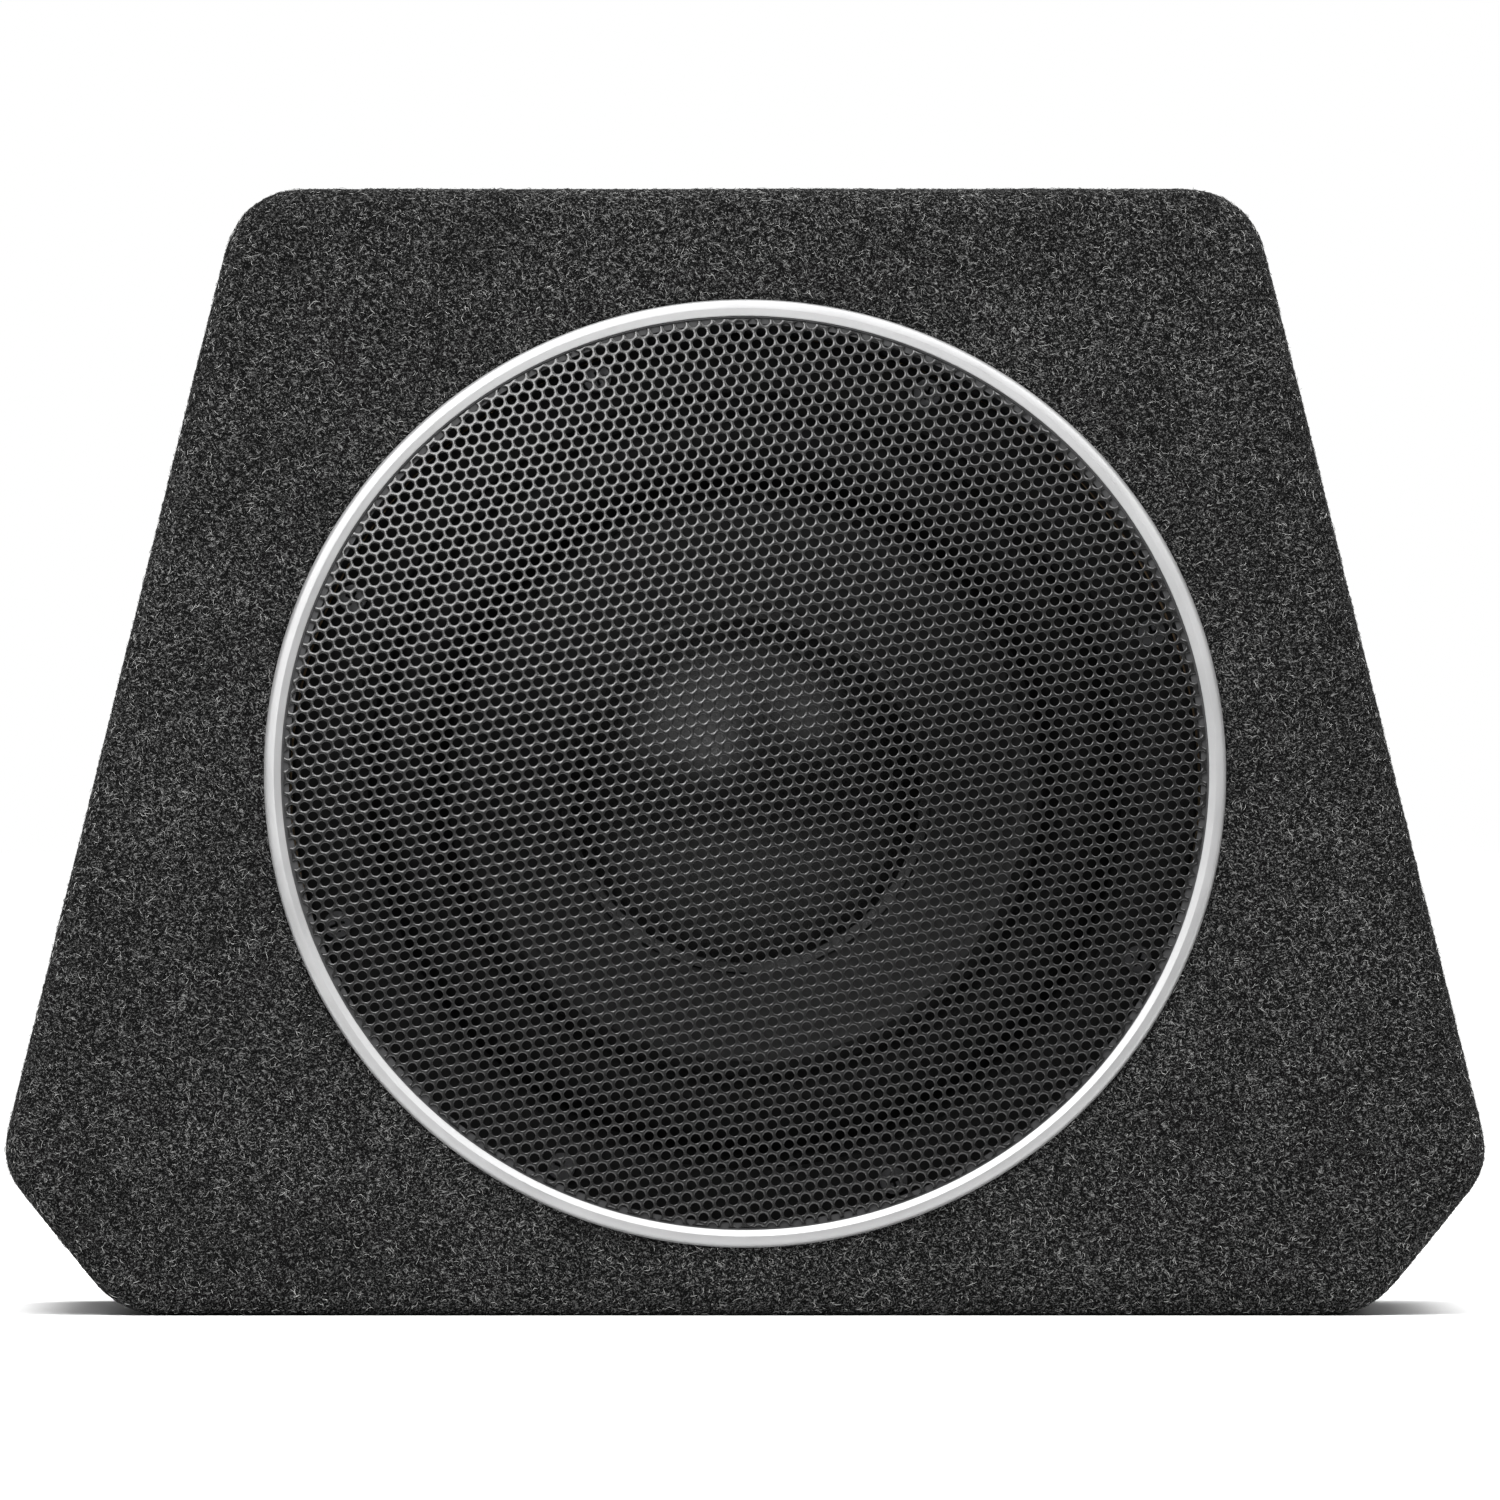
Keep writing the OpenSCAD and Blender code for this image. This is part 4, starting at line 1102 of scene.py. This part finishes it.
def pile(name, outer, normals, count, look, wrap_count):
    """Loose fibres that lie on the felt, each a thin strand with three sides and three rings."""
    next_point = np.roll(outer, -1, 1) if wrap_count else outer[:, 1:]
    keep = next_point.shape[1]
    a, b = outer[:-1, :keep], outer[1:, :keep]
    c, d = next_point[:-1], next_point[1:]
    size = np.linalg.norm(np.cross(b - a, c - a), axis=2)
    chance = (size / size.sum()).ravel()
    pick = DRAW.choice(len(chance), count, p=chance)
    r, i = np.unravel_index(pick, size.shape)
    s, t = DRAW.random((2, count, 1))
    root = (a[r, i] * (1 - s) + b[r, i] * s) * (1 - t) + (c[r, i] * (1 - s) + d[r, i] * s) * t
    up = normals[:-1, :keep][r, i]
    turn = DRAW.normal(size=(count, 3))
    ahead = turn - (turn * up).sum(1)[:, None] * up
    ahead /= np.linalg.norm(ahead, axis=1)[:, None]
    aside = np.cross(up, ahead)
    long = FIBRE_LENGTH * np.clip(DRAW.lognormal(0, 0.38, (count, 1)), 0.35, 2.4)
    curl = DRAW.normal(0, 0.28, (count, 1))
    high = MM * (0.08 + 0.27 * DRAW.random((count, 1)) ** 2)
    tip = MM * 0.55 * DRAW.random((count, 1)) ** 6
    wide = FIBRE_RADIUS * (0.7 + 0.6 * DRAW.random((count, 1)))
    points = np.empty((count, 9, 3))
    for k, (share, thin) in enumerate(((0.0, 0.55), (0.5, 1.0), (1.0, 0.55))):
        lying = root + ahead * long * (share - 0.5) + aside * long * curl * (share - 0.5) ** 2 * 4
        rise = high * math.sin(math.pi * (0.08 + 0.84 * share)) + tip * share - FIBRE_SUNK
        for corner in range(3):
            angle = 2 * math.pi * corner / 3
            spoke = math.cos(angle) * up + math.sin(angle) * aside
            points[:, 3 * k + corner] = lying + up * rise + wide * thin * spoke
    # The sides between a strand's rings, then its two ends
    pattern = [(a, d, c, b) for a, b, c, d in grid_faces(3, 3, False, True)]
    faces = [tuple(9 * n + v for v in quad) for n in range(count) for quad in pattern]
    faces += [tuple(9 * n + v for v in end) for n in range(count) for end in ((0, 2, 1), (6, 7, 8))]
    thing = make_object(name, points.reshape(-1, 3), faces, "cabinet")
    thing.data.materials.append(look)
    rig.slot(thing, "carpet")
    return thing


FIBRES = {
    "light": fibre("light_fibre", (0.46, 0.46, 0.45)),
    "grey": fibre("grey_fibre", (0.06, 0.06, 0.059)),
    "dark": fibre("dark_fibre", (0.004, 0.004, 0.004)),
}
pile_pieces = {"floor": []}
for side, points, normals, closed, counts in (
    ("front", front_outer, front_normals, True, (7600, 9000, 8000)),
    ("wrap", wrap_outer, wrap_normals, False, (8000, 9000, 6000)),
    ("back", back_outer, back_normals, True, (4400, 5200, 4200)),
):
    pile_pieces[side] = [
        pile(f"pile_{side}_{kind}", points, normals, count, look, closed)
        for (kind, look), count in zip(FIBRES.items(), counts)
    ]


def surface_of(rings, wrap_count):
    """The area of a grid of points."""
    around = np.roll(rings, -1, 1) - rings if wrap_count else np.diff(rings, axis=1)
    across = np.diff(rings, axis=0)
    keep = min(around.shape[1], across.shape[1])
    return float(np.linalg.norm(np.cross(across[:, :keep], around[:-1, :keep]), axis=2).sum())


box_size = start_high - start_low
face_cloth = (box_size.x + 2 * fold, box_size.z + 2 * fold)
wrap_length = float(np.linalg.norm(np.diff(wrap_outer[30], axis=0), axis=1).sum())
wrap_width = float(bottom_high.y - bottom_low.y)
floor_cloth = (float(bottom_high.x - bottom_low.x) + 4 * MM, wrap_width)
for thing, rests_on, cloth, flat, side in (
    (front_felt, ["baffle_front"], surface_of(front_outer, True), face_cloth, "front"),
    (
        wrap_felt, ["left_panel", "top_panel", "right_panel"], surface_of(wrap_outer, False),
        (wrap_length, wrap_width), "wrap",
    ),
    (floor_felt, ["bottom_panel"], surface_of(floor_outer, False), floor_cloth, "floor"),
    (back_felt, ["back_panel"], surface_of(back_outer, True), face_cloth, "back"),
):
    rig.sheet(
        thing, flat=flat, held="stretched", rests_on=rests_on, area=cloth, with_pieces=pile_pieces[side]
    )

# ---------------------------------------------------------------- dial scales on the amplifier

PAINT_SUNK = 0.02 * MM


def painted_bars(name, bars, face_y, thick, body):
    """Flat painted bars on a face that looks along +Y. Each is (centre, direction, near, far, width)."""
    points, faces = [], []
    for centre, spoke, near, far, width in bars:
        across = np.array((spoke[2], 0, -spoke[0])) * width / 2
        first = len(points)
        for y in (face_y - PAINT_SUNK, face_y + thick):
            for out, side in ((near, -1), (far, -1), (far, 1), (near, 1)):
                point = centre + spoke * out + across * side
                points.append((point[0], y, point[2]))
        for quad in ((0, 1, 2, 3), (7, 6, 5, 4), (0, 4, 5, 1), (1, 5, 6, 2), (2, 6, 7, 3), (3, 7, 4, 0)):
            faces.append(tuple(first + v for v in quad))
    bar_set = make_object(name, points, faces, body)
    face_out(bar_set)
    bar_set.data.materials.append(SCALE_PAINT)
    return bar_set


def dial_marks(name):
    """A scale round a knob, with longer first, middle and last marks, and the knob's pointer."""
    knob = f"{name}_knob"
    centre = middle(knob)
    low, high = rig.box(knob)
    edge = (high.x - low.x) / 2
    ticks = []
    for k in range(11):
        turn = math.radians(-150 + 30 * k)
        far = edge + (4.4 if k % 5 == 0 else 3.4) * MM
        ticks.append((centre, np.array((math.sin(turn), 0, math.cos(turn))), edge + 2 * MM, far, 0.5 * MM))
    scale = painted_bars(f"{name}_scale", ticks, plate_high.y, 0.12 * MM, "cabinet")
    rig.slot(scale, "black_sheet")
    # The pointer is paint in the groove of the knob's face
    shape = corners(knob)
    heights = np.unique(np.round(shape[:, 1], 5))
    floor_y = float(heights[heights < high.y - 0.3 * MM][-1])
    groove = shape[np.abs(shape[:, 1] - floor_y) < 0.02 * MM] - centre
    spoke = np.array((groove[:, 0].mean(), 0, groove[:, 2].mean()))
    spoke /= np.linalg.norm(spoke)
    reach = groove @ spoke
    bar = (centre, spoke, float(reach.min()) + 0.1 * MM, float(reach.max()) - 0.3 * MM, 0.8 * MM)
    pointer = painted_bars(f"{name}_pointer", [bar], floor_y, 0.2 * MM, f"{name}_dial")
    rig.slot(pointer, "black_plastic")


for name in ("level", "crossover", "boost"):
    dial_marks(name)

# ---------------------------------------------------------------- floor, light and camera

HALF_FLOOR = 40.0
floor_corners = [(x * HALF_FLOOR, y * HALF_FLOOR, 0) for x, y in ((-1, -1), (1, -1), (1, 1), (-1, 1))]
floor = make_object("floor", floor_corners, [(0, 1, 2, 3)], None)
floor.data.materials.append(material("pale_floor", (0.93, 0.93, 0.93), 0.9)[0])
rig.stage(floor)

# White where the camera sees it, and a dimmer white for what it lights
world = bpy.data.worlds.new("studio")
bpy.context.scene.world = world
bpy.context.scene.view_settings.view_transform = "Standard"
world.use_nodes = True
tree = world.node_tree
tree.nodes.clear()
lit = add(tree, "ShaderNodeBackground", Color=(1, 1, 1, 1), Strength=0.21)
seen = add(tree, "ShaderNodeBackground", Color=(1, 1, 1, 1), Strength=1.0)
path = add(tree, "ShaderNodeLightPath")
mix = add(tree, "ShaderNodeMixShader")
output = add(tree, "ShaderNodeOutputWorld")
tree.links.new(path.outputs["Is Camera Ray"], mix.inputs[0])
tree.links.new(lit.outputs[0], mix.inputs[1])
tree.links.new(seen.outputs[0], mix.inputs[2])
tree.links.new(mix.outputs[0], output.inputs["Surface"])

light_aim = Vector((0, 0, float(start_high.z) / 2))
for name, place, width, power in (
    ("key_light", (-0.70, -1.10, 1.645), 1.3, 38),
    ("accent_light", (-0.386, -1.646, 1.225), 0.4, 6),
    ("fill_light", (0.735, -1.075, 1.645), 0.8, 14),
    ("back_light", (0.9, 1.9, 1.5), 1.1, 40),
):
    data = bpy.data.lights.new(name, "AREA")
    data.shape = "RECTANGLE"
    data.size, data.size_y = width, width
    data.energy = power
    lamp = bpy.data.objects.new(name, data)
    bpy.context.scene.collection.objects.link(lamp)
    lamp.location = place
    lamp.rotation_euler = (light_aim - Vector(place)).to_track_quat("-Z", "Y").to_euler()
    lamp.visible_camera = False
overhead = bpy.data.lights.new("overhead", "SUN")
overhead.energy = 3.0
overhead.angle = math.radians(50)
bpy.context.scene.collection.objects.link(bpy.data.objects.new("overhead", overhead))

# The cabinet's share of the view's width, and the camera's place as shares of that width
CABINET_SHARE = 0.986
CAMERA_ASIDE = 1 / 300
CAMERA_UP = 0.376
CAMERA_DISTANCE = 9.0
SENSOR_WIDTH = 36
view_width = (start_high.x - start_low.x) / CABINET_SHARE
camera_data = bpy.data.cameras.new("camera")
camera_data.sensor_width = SENSOR_WIDTH
camera_data.lens = SENSOR_WIDTH * CAMERA_DISTANCE / view_width
camera_data.clip_end = 200
camera = bpy.data.objects.new("camera", camera_data)
bpy.context.scene.collection.objects.link(camera)
camera_y = middle("grille_ring")[1] - CAMERA_DISTANCE
camera.location = (CAMERA_ASIDE * view_width, camera_y, CAMERA_UP * view_width)
camera.rotation_euler = (math.pi / 2, 0, 0)
bpy.context.scene.camera = camera

end_low, end_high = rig.bounds()
with open("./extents.json", "w") as file:
    json.dump(
        {
            "before": [list(start_low), list(start_high)],
            "after": [list(end_low), list(end_high)],
        },
        file,
    )
